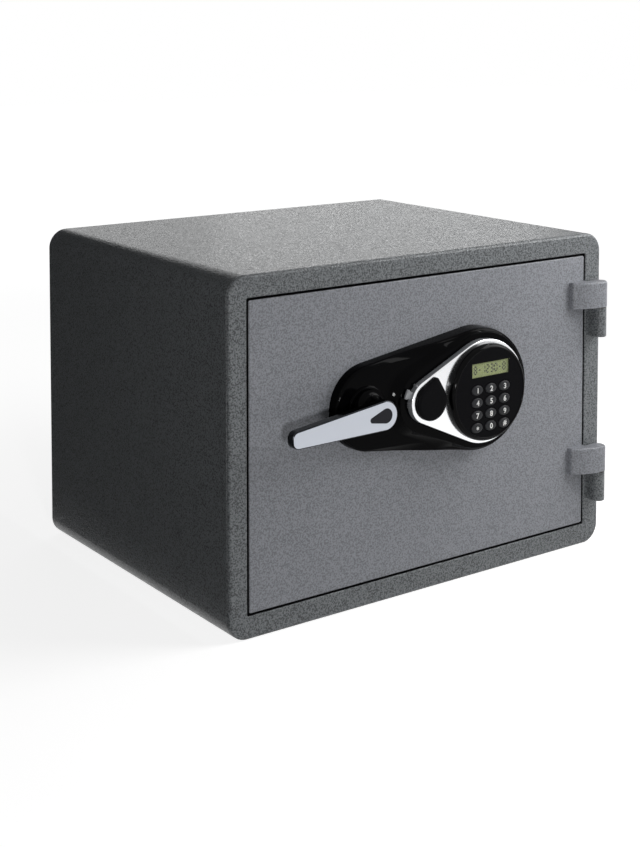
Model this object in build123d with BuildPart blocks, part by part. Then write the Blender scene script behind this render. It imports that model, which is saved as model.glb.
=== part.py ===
from build123d import *
import os
from math import atan2, cos, pi, sin, sqrt

# A fireproof safe with an electronic lock, closed and with its bolts drawn back.
# Origin: on the floor at the centre of the body. +X is the hinge side, +Y the back, +Z up.
# A depth is measured from the front face of the body, positive towards the back.
os.makedirs("parts", exist_ok=True)

# Body, in millimetres
body_width = 412.0
body_height = 293.0
body_depth = 315.0
edge_radius = 17.3
front_edge_radius = 3.0
sheet = 1.5
frame_plate = 3.2
frame_left = 17.0
frame_right = 19.5
frame_top = 18.2
frame_bottom = 19.0
jamb_depth = 20.0
jamb_step = 14.0
plug_end = 62.0
cavity_step = 12.0
wall_thickness = 44.0
back_recess = 2.0

# Door, in millimetres
door_gap = 2.0
skin_depth = 18.0
plug_gap_left = 7.0
plug_gap_right = 2.0
plug_gap_height = 2.5
fill_depth = 28.0
lock_plate_thickness = 2.0
plug_depth = 58.0
cover_thickness = 2.5
seal_width = 8.0
seal_thickness = 1.6

# Hinges, in millimetres
pin_x = 197.0
pin_reach = 8.5
pin_radius = 3.0
running_gap = 0.05
block_radius = 6.7
block_left = 165.5
block_left_height = 5.0
block_height = 24.2
knuckle_radius = 6.3
barrel_height = 28.0
hinge_zs = (225.4, 70.6)
washer_thickness = 0.9

# Front lock panel, in millimetres: every piece is centred on one level line
lock_z = 171.5
keypad_x = 42.0
key_x = -21.0
handle_x = -78.0
panel_x = -72.0
panel_big_radius = 54.0
panel_small_radius = 37.0
panel_left_height = 9.3
panel_right_height = 17.0
plateau_height = 18.0
plateau_big_radius = 51.0
plateau_small_radius = 27.8
trim_big_radius = 45.2
trim_small_radius = 18.8
trim_front = 23.0
trim_back = 16.0
bezel_radius = 42.5
bezel_front = 29.3
face_radius = 40.0
face_front = 29.0
face_back = 26.0
skirt_radius = 41.5
skirt_inner = 39.6

# Keys and display, in millimetres
key_width = 12.5
key_height = 8.5
key_pitch_x = 15.6
key_pitch_z = 10.9
keys_x = 42.7
keys_top_z = 175.4
key_front = 29.9
key_gap = 0.3
lcd_width = 42.7
lcd_height = 12.5
lcd_x = 43.0
lcd_z = 192.3

# Handle and bolt work, in millimetres
handle_droop = 4.0
arm_front = 36.2
arm_thickness = 7.6
arm_length = 92.3
arm_hub_radius = 12.4
arm_tip_half = 7.25
spindle_radius = 5.0
bush_radius = 7.0
cam_radius = 39.0
cam_depth = 31.0
cam_thickness = 4.0
spiral_start = 12.0
bolt_travel = 20.0
handle_turn = pi / 2
follower_radius = 3.5
follower_gap = 0.12
carriage_depth = 37.0
carriage_thickness = 4.0
bolt_radius = 8.0
bolt_hole_gap = 0.6
bolt_depth = 43.0
dog_radius = 7.0
bolt_zs = (84.5, 208.5)
bolt_tip_x = -167.3
bolt_rear_x = -124.0
plunger_x = -92.0
plunger_radius = 2.5

# Shared places that follow from the sizes above
front_y = -body_depth / 2
half_width = body_width / 2
open_left = -half_width + frame_left
open_right = half_width - frame_right
open_bottom = frame_bottom
open_top = body_height - frame_top
plug_left = open_left + jamb_step + plug_gap_left
plug_right = open_right - jamb_step - plug_gap_right
plug_bottom = open_bottom + jamb_step + plug_gap_height
plug_top = open_top - jamb_step - plug_gap_height
cavity_left = open_left + jamb_step + cavity_step
cavity_right = open_right - jamb_step - cavity_step
cavity_bottom = open_bottom + jamb_step + cavity_step
cavity_top = open_top - jamb_step - cavity_step
cavity_end = body_depth - wall_thickness
pin_y = front_y - pin_reach
cam_rate = bolt_travel / handle_turn


def face_plane(depth):
    # A plane across the front, seen from outside: its x is X and its y is Z.
    return Plane.XZ.offset(body_depth / 2 - depth)


def opening(grow, step=0.0):
    # The door opening as left, right, bottom and top, grown all round and stepped in.
    inward = step - grow
    return (open_left + inward, open_right - inward, open_bottom + inward, open_top - inward)


def block(left, right, bottom, top, start, end, mode=Mode.ADD):
    # A box given by its sides and by its first and last depth.
    with BuildSketch(face_plane(start)) as side:
        with Locations(((left + right) / 2, (bottom + top) / 2)):
            Rectangle(right - left, top - bottom)
    extrude(side.sketch, amount=start - end, mode=mode)


def rod(x, z, radius, start, end, mode=Mode.ADD):
    # A round bar or hole along Y, between two depths.
    with BuildSketch(face_plane(start)) as end_face:
        with Locations((x, z)):
            Circle(radius)
    extrude(end_face.sketch, amount=start - end, mode=mode)


def cross_rod(z, depth, radius, start_x, end_x, mode=Mode.ADD):
    # A round bar or hole along X.
    with BuildSketch(Plane.YZ.offset(start_x)) as end_face:
        with Locations((front_y + depth, z)):
            Circle(radius)
    extrude(end_face.sketch, amount=end_x - start_x, mode=mode)


def upright_rod(x, y, radius, bottom, top, mode=Mode.ADD):
    # A round bar or hole along Z.
    with BuildSketch(Plane.XY.offset(bottom)) as end_face:
        with Locations((x, y)):
            Circle(radius)
    extrude(end_face.sketch, amount=top - bottom, mode=mode)


def body_outline(inset):
    # The rounded outline of the body seen from the front.
    with BuildSketch() as outline:
        with Locations((0, body_height / 2)):
            RectangleRounded(body_width - 2 * inset, body_height - 2 * inset, edge_radius - inset)
    return outline.sketch


def drop_outline(big_centre, big_radius, small_centre, small_radius):
    # A large and a small circle with the two tangents that join them.
    with BuildSketch() as outline:
        with Locations(big_centre):
            Circle(big_radius)
        with Locations(small_centre):
            Circle(small_radius)
        make_hull()
    return outline.sketch


def panel_drop(big_radius, small_radius, small_x):
    # A drop along the lock's level line, round the keypad at its large end.
    return drop_outline((keypad_x, lock_z), big_radius, (small_x, lock_z), small_radius)


# Outer shell: one folded wrap with rounded long edges
with BuildPart() as outer_shell:
    with BuildSketch(face_plane(frame_plate)):
        add(body_outline(0))
        add(body_outline(sheet), mode=Mode.SUBTRACT)
    extrude(amount=frame_plate - body_depth)
outer_shell.part.label = "outer_shell"
export_step(outer_shell.part, "parts/outer_shell.step")

# Front frame: the plate round the door, with the jamb folded inwards
with BuildPart() as front_frame:
    with BuildSketch(face_plane(0)):
        add(body_outline(0))
    extrude(amount=-frame_plate)
    fillet(front_frame.faces().sort_by(Axis.Y)[0].outer_wire().edges(), front_edge_radius)
    block(*opening(sheet), frame_plate, jamb_depth)
    block(*opening(0), 0, jamb_depth, Mode.SUBTRACT)
front_frame.part.label = "front_frame"
export_step(front_frame.part, "parts/front_frame.step")

# Back panel: a shallow pan let into the rear of the shell
pan_depth = 12.0
with BuildPart() as back_panel:
    with BuildSketch(face_plane(body_depth - back_recess - pan_depth)):
        add(body_outline(sheet))
    extrude(amount=-pan_depth)
    with BuildSketch(face_plane(body_depth - back_recess - pan_depth)):
        add(body_outline(2 * sheet))
    extrude(amount=sheet - pan_depth, mode=Mode.SUBTRACT)
back_panel.part.label = "back_panel"
export_step(back_panel.part, "parts/back_panel.step")

# Inner liner: stepped jamb and cavity, moulded as one tub
strike_hole = 9.5
dog_z_gap = 8.0
dog_slot_start = 32.0
dog_slot_end = 51.5
liner_corner_radius = 6.0
with BuildPart() as inner_liner:
    block(*opening(sheet), jamb_depth, jamb_depth + sheet)
    block(*opening(sheet, jamb_step), jamb_depth, plug_end + sheet)
    block(*opening(sheet, jamb_step + cavity_step), plug_end, cavity_end + sheet)
    block(*opening(0, jamb_step), jamb_depth, plug_end, Mode.SUBTRACT)
    block(*opening(0, jamb_step + cavity_step), plug_end, cavity_end, Mode.SUBTRACT)
    fillet(inner_liner.faces().filter_by(Axis.Y).sort_by(Axis.Y)[-2].edges(), liner_corner_radius)
    for z in bolt_zs:
        cross_rod(z, bolt_depth, strike_hole, open_left + jamb_step - 2 * sheet, 0, Mode.SUBTRACT)
        block(0, open_right, z - dog_z_gap, z + dog_z_gap, dog_slot_start, dog_slot_end, Mode.SUBTRACT)
inner_liner.part.label = "inner_liner"
export_step(inner_liner.part, "parts/inner_liner.step")

# Strike plate: the steel plate behind the left jamb that the bolts shoot through
strike_thickness = 3.0
strike_front = 26.0
strike_end = 60.0
strike_reach = 22.0
strike_x = open_left + jamb_step - sheet - strike_thickness
with BuildPart() as strike_plate:
    block(
        strike_x, strike_x + strike_thickness,
        bolt_zs[0] - strike_reach, bolt_zs[1] + strike_reach, strike_front, strike_end,
    )
    for z in bolt_zs:
        cross_rod(z, bolt_depth, strike_hole, strike_x, strike_x + strike_thickness, Mode.SUBTRACT)
strike_plate.part.label = "strike_plate"
export_step(strike_plate.part, "parts/strike_plate.step")

# Fire filling of the body: cast between the shell and the liner
pocket_depth = 16.0
dog_pocket = 11.0
with BuildPart() as body_filling:
    with BuildSketch(face_plane(frame_plate)):
        add(body_outline(sheet))
    extrude(amount=frame_plate - body_depth + back_recess + pan_depth)
    with BuildSketch(face_plane(body_depth - back_recess - pan_depth)):
        add(body_outline(2 * sheet))
    extrude(amount=sheet - pan_depth)
    block(*opening(sheet), frame_plate, jamb_depth + sheet, Mode.SUBTRACT)
    block(*opening(sheet, jamb_step), jamb_depth, plug_end + sheet, Mode.SUBTRACT)
    block(*opening(sheet, jamb_step + cavity_step), plug_end, cavity_end + sheet, Mode.SUBTRACT)
    block(
        strike_x, strike_x + strike_thickness,
        bolt_zs[0] - strike_reach, bolt_zs[1] + strike_reach, strike_front, strike_end, Mode.SUBTRACT,
    )
    for z in bolt_zs:
        cross_rod(z, bolt_depth, strike_hole, strike_x - pocket_depth, strike_x, Mode.SUBTRACT)
        block(0, open_right - jamb_step + dog_pocket, z - dog_z_gap, z + dog_z_gap,
              dog_slot_start, dog_slot_end, Mode.SUBTRACT)
body_filling.part.label = "body_filling"
export_step(body_filling.part, "parts/body_filling.step")

# Shelf and the two ledges that carry it
shelf_z = 140.0
shelf_thickness = 3.0
shelf_front = 84.0
shelf_edge_radius = 1.0
lip_height = 14.0
lip_thickness = 2.5
shelf_side_gap = 1.5
shelf_rear_gap = 2.5
ledge_size = 8.0
ledge_clearance = 2.0
ledge_front_gap = 6.0
ledge_rear_gap = 12.0
with BuildPart() as shelf:
    block(cavity_left + shelf_side_gap, cavity_right - shelf_side_gap,
          shelf_z, shelf_z + shelf_thickness, shelf_front, cavity_end - shelf_rear_gap)
    block(cavity_left + ledge_size + ledge_clearance, cavity_right - ledge_size - ledge_clearance,
          shelf_z + shelf_thickness - lip_height, shelf_z + shelf_thickness,
          shelf_front, shelf_front + lip_thickness)
    fillet(shelf.edges().filter_by(Axis.X).group_by(Axis.Y)[0], shelf_edge_radius)
shelf.part.label = "shelf"
export_step(shelf.part, "parts/shelf.step")

with BuildPart() as shelf_ledges:
    for left in (cavity_left, cavity_right - ledge_size):
        block(left, left + ledge_size, shelf_z - ledge_size, shelf_z,
              shelf_front + ledge_front_gap, cavity_end - ledge_rear_gap)
shelf_ledges.part.label = "shelf_ledges"
export_step(shelf_ledges.part, "parts/shelf_ledges.step")

# Hinge halves on the body: a barrel on a short foot, below each door block
barrel_end_radius = 1.0
pin_seat = 4.0
clear_of_front = 1.0
with BuildPart() as body_hinge_barrels:
    for split_z in hinge_zs:
        with BuildSketch(Plane.XY.offset(split_z - barrel_height)):
            with Locations((pin_x, pin_y)):
                Circle(knuckle_radius)
            with Locations((pin_x, (pin_y + front_y) / 2)):
                Rectangle(2 * knuckle_radius, pin_reach)
        extrude(amount=barrel_height - washer_thickness)
    lower_ends = [face for face in body_hinge_barrels.faces() if face.normal_at().Z < -0.5]
    end_edges = [edge for face in lower_ends for edge in face.edges()]
    fillet([edge for edge in end_edges if edge.center().Y < front_y - clear_of_front], barrel_end_radius)
    for split_z in hinge_zs:
        upright_rod(pin_x, pin_y, pin_radius, split_z - barrel_height + pin_seat, split_z, Mode.SUBTRACT)
body_hinge_barrels.part.label = "body_hinge_barrels"
export_step(body_hinge_barrels.part, "parts/body_hinge_barrels.step")

# Hinge pins, fast in the barrels and running in the door blocks
pin_length = 44.0
with BuildPart() as hinge_pins:
    for split_z in hinge_zs:
        pin_bottom = split_z - barrel_height + pin_seat
        upright_rod(pin_x, pin_y, pin_radius, pin_bottom, pin_bottom + pin_length)
hinge_pins.part.label = "hinge_pins"
export_step(hinge_pins.part, "parts/hinge_pins.step")

# Brass washers that the door blocks turn on
washer_lift = 0.1
washer_radius = knuckle_radius - 0.6
with BuildPart() as hinge_washers:
    for split_z in hinge_zs:
        upright_rod(pin_x, pin_y, washer_radius, split_z - washer_thickness, split_z - washer_lift)
        upright_rod(pin_x, pin_y, pin_radius, split_z - washer_thickness, split_z, Mode.SUBTRACT)
hinge_washers.part.label = "hinge_washers"
export_step(hinge_washers.part, "parts/hinge_washers.step")

# Hinge blocks on the door: low at the left, rising in an arc to the round end over the pin
block_bore_end = 21.7
block_corner_radius = 2.5
block_top_radius = 2.0
block_lower_radius = 0.4
past_arc_ends = 1.5
with BuildPart() as door_hinge_blocks:
    for split_z in hinge_zs:
        with BuildSketch(Plane.XY.offset(split_z)):
            with BuildLine():
                Polyline(
                    (pin_x, pin_y + block_radius),
                    (open_right - door_gap, pin_y + block_radius),
                    (open_right - door_gap, front_y),
                    (block_left, front_y),
                    (block_left, front_y - block_left_height),
                )
                TangentArc(
                    (pin_x, pin_y - block_radius),
                    (block_left, front_y - block_left_height),
                    tangent=(-1, 0),
                )
                ThreePointArc(
                    (pin_x, pin_y - block_radius),
                    (pin_x + block_radius, pin_y),
                    (pin_x, pin_y + block_radius),
                )
            make_face()
        extrude(amount=block_height)
    left_edges = door_hinge_blocks.edges().filter_by(Axis.Z).group_by(Axis.X)[0]
    fillet(left_edges.group_by(Axis.Y)[0], block_corner_radius)
    for facing, radius in ((1, block_top_radius), (-1, block_lower_radius)):
        ends = [face for face in door_hinge_blocks.faces() if facing * face.normal_at().Z > 0.5]
        end_edges = [edge for face in ends for edge in face.edges()]
        fillet([edge for edge in end_edges if edge.center().Y < front_y - past_arc_ends], radius)
    for split_z in hinge_zs:
        bore_radius = pin_radius + running_gap
        upright_rod(pin_x, pin_y, bore_radius, split_z, split_z + block_bore_end, Mode.SUBTRACT)
door_hinge_blocks.part.label = "door_hinge_blocks"
export_step(door_hinge_blocks.part, "parts/door_hinge_blocks.step")

# Places where the door is drilled for the lock
cable_hole = 6.0
cylinder_radius = 9.0


def lock_holes(start, end):
    # The three holes through the door: spindle bush, key cylinder and keypad cable.
    rod(handle_x, lock_z, bush_radius, start, end, Mode.SUBTRACT)
    rod(key_x, lock_z, cylinder_radius, start, end, Mode.SUBTRACT)
    rod(keypad_x, lock_z, cable_hole, start, end, Mode.SUBTRACT)


# Door skin: a folded pan, flush with the frame
skin_edge_radius = 0.6
with BuildPart() as door_skin:
    block(*opening(-door_gap), 0, skin_depth)
    fillet(door_skin.faces().sort_by(Axis.Y)[0].edges(), skin_edge_radius)
    block(*opening(-door_gap - sheet), sheet, skin_depth, Mode.SUBTRACT)
    lock_holes(0, sheet)
door_skin.part.label = "door_skin"
export_step(door_skin.part, "parts/door_skin.step")

# Plug pan: the stepped rear half of the door, with its flange inside the skin
with BuildPart() as door_plug:
    block(*opening(-door_gap - sheet), skin_depth - sheet, skin_depth)
    block(plug_left, plug_right, plug_bottom, plug_top, skin_depth - sheet, plug_depth)
    block(plug_left + sheet, plug_right - sheet, plug_bottom + sheet, plug_top - sheet,
          skin_depth - sheet, plug_depth, Mode.SUBTRACT)
    for z in bolt_zs:
        cross_rod(z, bolt_depth, bolt_radius + bolt_hole_gap, plug_left, plug_left + sheet, Mode.SUBTRACT)
        cross_rod(z, bolt_depth, dog_radius, plug_right - sheet, plug_right, Mode.SUBTRACT)
door_plug.part.label = "door_plug"
export_step(door_plug.part, "parts/door_plug.step")

# Fire filling of the door
with BuildPart() as door_filling:
    block(*opening(-door_gap - sheet), sheet, skin_depth - sheet)
    block(plug_left + sheet, plug_right - sheet, plug_bottom + sheet, plug_top - sheet,
          skin_depth - sheet, fill_depth)
    lock_holes(sheet, fill_depth)
door_filling.part.label = "door_filling"
export_step(door_filling.part, "parts/door_filling.step")

# Heat seal: a strip round the step of the door
seal_inset = 1.0
with BuildPart() as door_seal:
    block(*opening(-door_gap - seal_inset), skin_depth, skin_depth + seal_thickness)
    block(*opening(-door_gap - seal_inset - seal_width), skin_depth, skin_depth + seal_thickness,
          Mode.SUBTRACT)
door_seal.part.label = "door_seal"
export_step(door_seal.part, "parts/door_seal.step")

# Places and sizes of the screws that hold the inner cover
standoff_radius = 4.0
screw_radius = 1.5
screw_head_radius = 4.0
screw_head_height = 2.2
screw_head_rounding = 1.2
screw_length = 12.0
cross_reach = 2.6
cross_half_width = 0.5
cross_bottom = 1.2
cover_end = plug_depth + cover_thickness
screw_places = [(x, z) for x in (-150.0, 0.0, 154.0) for z in (50.0, 243.0)]

# Lock plate: carries the bolt work behind the filling, with a standoff for each cover screw
lock_plate_end = fill_depth + lock_plate_thickness
with BuildPart() as lock_plate:
    block(plug_left + sheet, plug_right - sheet, plug_bottom + sheet, plug_top - sheet,
          fill_depth, lock_plate_end)
    lock_holes(fill_depth, lock_plate_end)
    for x, z in screw_places:
        rod(x, z, standoff_radius, lock_plate_end, plug_depth)
        rod(x, z, screw_radius, cover_end - screw_length, plug_depth, Mode.SUBTRACT)
lock_plate.part.label = "lock_plate"
export_step(lock_plate.part, "parts/lock_plate.step")

# Fixed dogs on the hinge side, behind the jamb when the door is shut
dog_tip_x = 180.0
dog_root_x = 155.0
dog_chamfer = 1.2
collar_width = 3.0
collar_length = 4.0
with BuildPart() as hinge_dogs:
    for z in bolt_zs:
        cross_rod(z, bolt_depth, dog_radius, dog_root_x, dog_tip_x)
    chamfer(hinge_dogs.edges().group_by(Axis.X)[-1], dog_chamfer)
    for z in bolt_zs:
        collar_right = plug_right - sheet
        cross_rod(z, bolt_depth, dog_radius + collar_width, collar_right - collar_length, collar_right)
hinge_dogs.part.label = "hinge_dogs"
export_step(hinge_dogs.part, "parts/hinge_dogs.step")

# Cross-head screws of the inner cover
with BuildPart() as cover_screws:
    for x, z in screw_places:
        rod(x, z, screw_radius, cover_end - screw_length, cover_end)
        rod(x, z, screw_head_radius, cover_end, cover_end + screw_head_height)
    fillet(cover_screws.edges().group_by(Axis.Y)[-1], screw_head_rounding)
    for x, z in screw_places:
        for half_x, half_z in ((cross_reach, cross_half_width), (cross_half_width, cross_reach)):
            block(x - half_x, x + half_x, z - half_z, z + half_z,
                  cover_end + cross_bottom, cover_end + screw_head_height, Mode.SUBTRACT)
cover_screws.part.label = "cover_screws"
export_step(cover_screws.part, "parts/cover_screws.step")

# Battery places: four cells side by side behind a sliding lid
cell_radius = 7.1
cell_length = 50.0
cell_pitch = 15.6
cell_count = 4
cells_x = 52.0
cells_z = 88.0
cell_gap = 0.1
nub_radius = 2.7
nub_height = 1.2
case_wall = 1.5
case_front = 39.0
case_half_x = cell_count * cell_pitch / 2 + 1.0
case_half_z = cell_length / 2 + 4.0
lid_margin = 4.0
lid_thickness = 2.0
lid_gap = 0.2
rail_width = 3.0
rail_height = 3.6
lip_overhang = 1.2
cover_corner_radius = 4.0
cover_edge_radius = 1.0

# Inner cover: the moulded plate over the bolt work, with the battery case in one piece
with BuildPart() as inner_cover:
    block(plug_left, plug_right, plug_bottom, plug_top, plug_depth, cover_end)
    fillet(inner_cover.edges().filter_by(Axis.Y), cover_corner_radius)
    fillet(inner_cover.faces().sort_by(Axis.Y)[-1].edges(), cover_edge_radius)
    for side in (-1, 1):
        rail_x = cells_x + side * (case_half_x + lid_margin + lid_gap + rail_width / 2)
        block(rail_x - rail_width / 2, rail_x + rail_width / 2, cells_z - case_half_z - lid_margin,
              cells_z + case_half_z, cover_end, cover_end + rail_height)
        lip_x = rail_x - side * lip_overhang
        block(lip_x - rail_width / 2, lip_x + rail_width / 2, cells_z - case_half_z - lid_margin,
              cells_z + case_half_z, cover_end + lid_thickness + 2 * lid_gap, cover_end + rail_height)
    block(cells_x - case_half_x - case_wall, cells_x + case_half_x + case_wall,
          cells_z - case_half_z - case_wall, cells_z + case_half_z + case_wall, case_front, plug_depth)
    block(cells_x - case_half_x, cells_x + case_half_x, cells_z - case_half_z, cells_z + case_half_z,
          case_front + case_wall, cover_end, Mode.SUBTRACT)
    for x, z in screw_places:
        rod(x, z, screw_radius, plug_depth, cover_end, Mode.SUBTRACT)
inner_cover.part.label = "inner_cover"
export_step(inner_cover.part, "parts/inner_cover.step")

# Cells: each stands the other way up from its neighbour
cell_depth = case_front + case_wall + cell_radius + cell_gap
with BuildPart() as batteries:
    for index in range(cell_count):
        cell_x = cells_x + (index - (cell_count - 1) / 2) * cell_pitch
        nub_side = 1 if index % 2 else -1
        upright_rod(cell_x, front_y + cell_depth, cell_radius, cells_z - cell_length / 2,
                    cells_z + cell_length / 2)
        nub_ends = (cells_z + nub_side * cell_length / 2,
                    cells_z + nub_side * (cell_length / 2 + nub_height))
        upright_rod(cell_x, front_y + cell_depth, nub_radius, min(nub_ends), max(nub_ends))
batteries.part.label = "batteries"
export_step(batteries.part, "parts/batteries.step")

# Battery lid: slides up in its rails to show the cells, with ridges for the thumb
ridge_count = 5
ridge_pitch = 3.0
ridge_half_length = 10.0
ridge_width = 1.2
ridge_height = 0.8
first_ridge = 4.0
lid_start = cover_end + lid_gap
lid_end = lid_start + lid_thickness
with BuildPart() as battery_lid:
    block(cells_x - case_half_x - lid_margin, cells_x + case_half_x + lid_margin,
          cells_z - case_half_z - lid_margin, cells_z + case_half_z + lid_margin,
          lid_start, lid_end)
    for ridge in range(ridge_count):
        ridge_z = cells_z - case_half_z + first_ridge + ridge_pitch * ridge
        block(cells_x - ridge_half_length, cells_x + ridge_half_length, ridge_z, ridge_z + ridge_width,
              lid_end, lid_end + ridge_height)
battery_lid.part.label = "battery_lid"
export_step(battery_lid.part, "parts/battery_lid.step")

# Control board behind the keypad, on four posts, and the cable to the keypad
board_depth = 36.0
board_thickness = 1.6
board_width = 62.0
board_height = 50.0
board_z = 172.0
post_inset = 5.0
post_radius = 2.5
chips = (
    # left, right, bottom and top from the middle of the board, and height
    (-8.0, 8.0, -8.0, 8.0, 2.0),
    (-24.0, -14.0, 8.0, 18.0, 7.0),
    (14.0, 26.0, -20.0, -8.0, 5.0),
)
can_place = (20.0, 12.0)
can_radius = 4.0
can_height = 9.0
with BuildPart() as control_board:
    board_end = board_depth + board_thickness
    block(keypad_x - board_width / 2, keypad_x + board_width / 2, board_z - board_height / 2,
          board_z + board_height / 2, board_depth, board_end)
    for across in (post_inset - board_width / 2, board_width / 2 - post_inset):
        for up in (post_inset - board_height / 2, board_height / 2 - post_inset):
            rod(keypad_x + across, board_z + up, post_radius, lock_plate_end, board_depth)
    for left, right, bottom, top, height in chips:
        block(keypad_x + left, keypad_x + right, board_z + bottom, board_z + top,
              board_end, board_end + height)
    rod(keypad_x + can_place[0], board_z + can_place[1], can_radius, board_end, board_end + can_height)
control_board.part.label = "control_board"
export_step(control_board.part, "parts/control_board.step")

board_front = 20.0
board_back = 18.4
cable_radius = 2.2
with BuildPart() as keypad_cable:
    rod(keypad_x, lock_z, cable_radius, -board_back, board_depth)
keypad_cable.part.label = "keypad_cable"
export_step(keypad_cable.part, "parts/keypad_cable.step")

# Panel: the black moulding that carries handle, key cover and keypad
pocket_back = 4.0
seat_radius = 19.0
seat_height = 12.2
panel_draft = 1.0
panel_edge_radius = 3.0
plateau_edge_radius = 1.0
wedge_reach = 130.0
wedge_margin = 10.0
panel_left_x = panel_x - panel_small_radius
panel_right_x = keypad_x + panel_big_radius
panel_slope = (panel_right_height - panel_left_height) / (panel_right_x - panel_left_x)
with BuildPart() as lock_panel:
    with BuildSketch(face_plane(0)):
        add(panel_drop(panel_big_radius, panel_small_radius, panel_x))
    with BuildSketch(face_plane(-plateau_height)):
        add(panel_drop(panel_big_radius - panel_draft, panel_small_radius - panel_draft, panel_x))
    loft()
    with BuildSketch(Plane.XY.offset(lock_z - wedge_reach / 2)):
        with BuildLine():
            wedge_left = panel_left_x - wedge_margin
            wedge_right = panel_right_x + wedge_margin
            Polyline(
                (wedge_left, front_y - panel_left_height + wedge_margin * panel_slope),
                (wedge_right, front_y - panel_right_height - wedge_margin * panel_slope),
                (wedge_right, front_y - 2 * plateau_height),
                (wedge_left, front_y - 2 * plateau_height),
                close=True,
            )
        make_face()
    extrude(amount=wedge_reach, mode=Mode.SUBTRACT)
    fillet(lock_panel.faces().sort_by(Axis.Y)[0].edges(), panel_edge_radius)
    rod(handle_x, lock_z, seat_radius, 0, -seat_height)
    with BuildSketch(face_plane(-pocket_back)):
        add(panel_drop(plateau_big_radius, plateau_small_radius, key_x))
    extrude(amount=plateau_height - pocket_back)
    fillet(lock_panel.faces().sort_by(Axis.Y)[0].edges(), plateau_edge_radius)
    with BuildSketch(face_plane(-trim_back)):
        add(panel_drop(trim_big_radius, trim_small_radius, key_x))
    extrude(amount=plateau_height, mode=Mode.SUBTRACT)
    rod(keypad_x, lock_z, skirt_radius, -pocket_back, -plateau_height, Mode.SUBTRACT)
    lock_holes(0, -plateau_height)
lock_panel.part.label = "lock_panel"
export_step(lock_panel.part, "parts/lock_panel.step")

# Trim: the bright drop round the keypad and the key cover
trim_edge_radius = 1.2
lug_end = (-42.6, 180.5)
lug_root = (-35.8, 177.6)
lug_radius = 3.0
lug_height = 1.8
with BuildPart() as lock_trim:
    with BuildSketch(face_plane(-trim_back)):
        add(panel_drop(trim_big_radius, trim_small_radius, key_x))
    extrude(amount=trim_front - trim_back)
    fillet(lock_trim.faces().sort_by(Axis.Y)[0].edges(), trim_edge_radius)
    with BuildSketch(face_plane(-plateau_height)):
        add(drop_outline(lug_end, lug_radius, lug_root, lug_radius))
    extrude(amount=lug_height)
    rod(keypad_x, lock_z, skirt_radius, -trim_back, -trim_front, Mode.SUBTRACT)
    rod(key_x, lock_z, cylinder_radius, -trim_back, -trim_front, Mode.SUBTRACT)
lock_trim.part.label = "lock_trim"
export_step(lock_trim.part, "parts/lock_trim.step")

# Keypad bezel: a glossy ring with a slightly bulged side and a skirt down into the panel
skirt_end = 6.0
bezel_rim = 40.9
bezel_bulge = (0.35, 27.0)
with BuildPart() as keypad_bezel:
    with BuildSketch(Plane.XY.offset(lock_z)):
        with BuildLine():
            Polyline(
                (keypad_x + bezel_rim, front_y - bezel_front),
                (keypad_x + face_radius, front_y - bezel_front),
                (keypad_x + face_radius, front_y - face_back),
                (keypad_x + skirt_inner, front_y - face_back),
                (keypad_x + skirt_inner, front_y - skirt_end),
                (keypad_x + skirt_radius, front_y - skirt_end),
                (keypad_x + skirt_radius, front_y - trim_front),
                (keypad_x + bezel_radius, front_y - trim_front),
            )
            ThreePointArc(
                (keypad_x + bezel_radius, front_y - trim_front),
                (keypad_x + bezel_radius - bezel_bulge[0], front_y - bezel_bulge[1]),
                (keypad_x + bezel_rim, front_y - bezel_front),
            )
        make_face()
    revolve(axis=Axis((keypad_x, 0, lock_z), (0, 1, 0)))
keypad_bezel.part.label = "keypad_bezel"
export_step(keypad_bezel.part, "parts/keypad_bezel.step")

key_names = (
    ("key_1", "key_2", "key_3"),
    ("key_4", "key_5", "key_6"),
    ("key_7", "key_8", "key_9"),
    ("key_star", "key_0", "key_hash"),
)
key_places = {
    name: (keys_x + (column - 1) * key_pitch_x, keys_top_z - row * key_pitch_z)
    for row, names in enumerate(key_names)
    for column, name in enumerate(names)
}


def oval(x, z, grow):
    # The oval of a key, grown all round.
    with Locations((x, z)):
        Ellipse(key_width / 2 + grow, key_height / 2 + grow)


# Keypad face: the dark disc with a hole for each key and one for the display
with BuildPart() as keypad_face:
    rod(keypad_x, lock_z, face_radius, -face_back, -face_front)
    block(lcd_x - lcd_width / 2, lcd_x + lcd_width / 2, lcd_z - lcd_height / 2, lcd_z + lcd_height / 2,
          -face_back, -face_front, Mode.SUBTRACT)
    with BuildSketch(face_plane(-face_back)):
        for x, z in key_places.values():
            oval(x, z, key_gap)
    extrude(amount=face_front - face_back, mode=Mode.SUBTRACT)
keypad_face.part.label = "keypad_face"
export_step(keypad_face.part, "parts/keypad_face.step")

# Keys: an oval cap with a collar behind the face and a stem
collar_front = face_back - 0.4
collar_back = 24.6
stem_back = 23.6
stem_radius = 2.4
key_edge_radius = 0.7
for name, (x, z) in key_places.items():
    with BuildPart() as key:
        with BuildSketch(face_plane(-collar_front)):
            oval(x, z, 0)
        extrude(amount=key_front - collar_front)
        fillet(key.faces().sort_by(Axis.Y)[0].edges(), key_edge_radius)
        with BuildSketch(face_plane(-collar_back)):
            oval(x, z, 2 * key_gap)
        extrude(amount=collar_front - collar_back)
        rod(x, z, stem_radius, -stem_back, -collar_back)
    key.part.label = name
    export_step(key.part, f"parts/{name}.step")

# Display: the clear window and the module behind it
window_sink = 0.5
with BuildPart() as lcd_window:
    block(lcd_x - lcd_width / 2, lcd_x + lcd_width / 2, lcd_z - lcd_height / 2, lcd_z + lcd_height / 2,
          -face_back, window_sink - face_front)
lcd_window.part.label = "lcd_window"
export_step(lcd_window.part, "parts/lcd_window.step")

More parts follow.
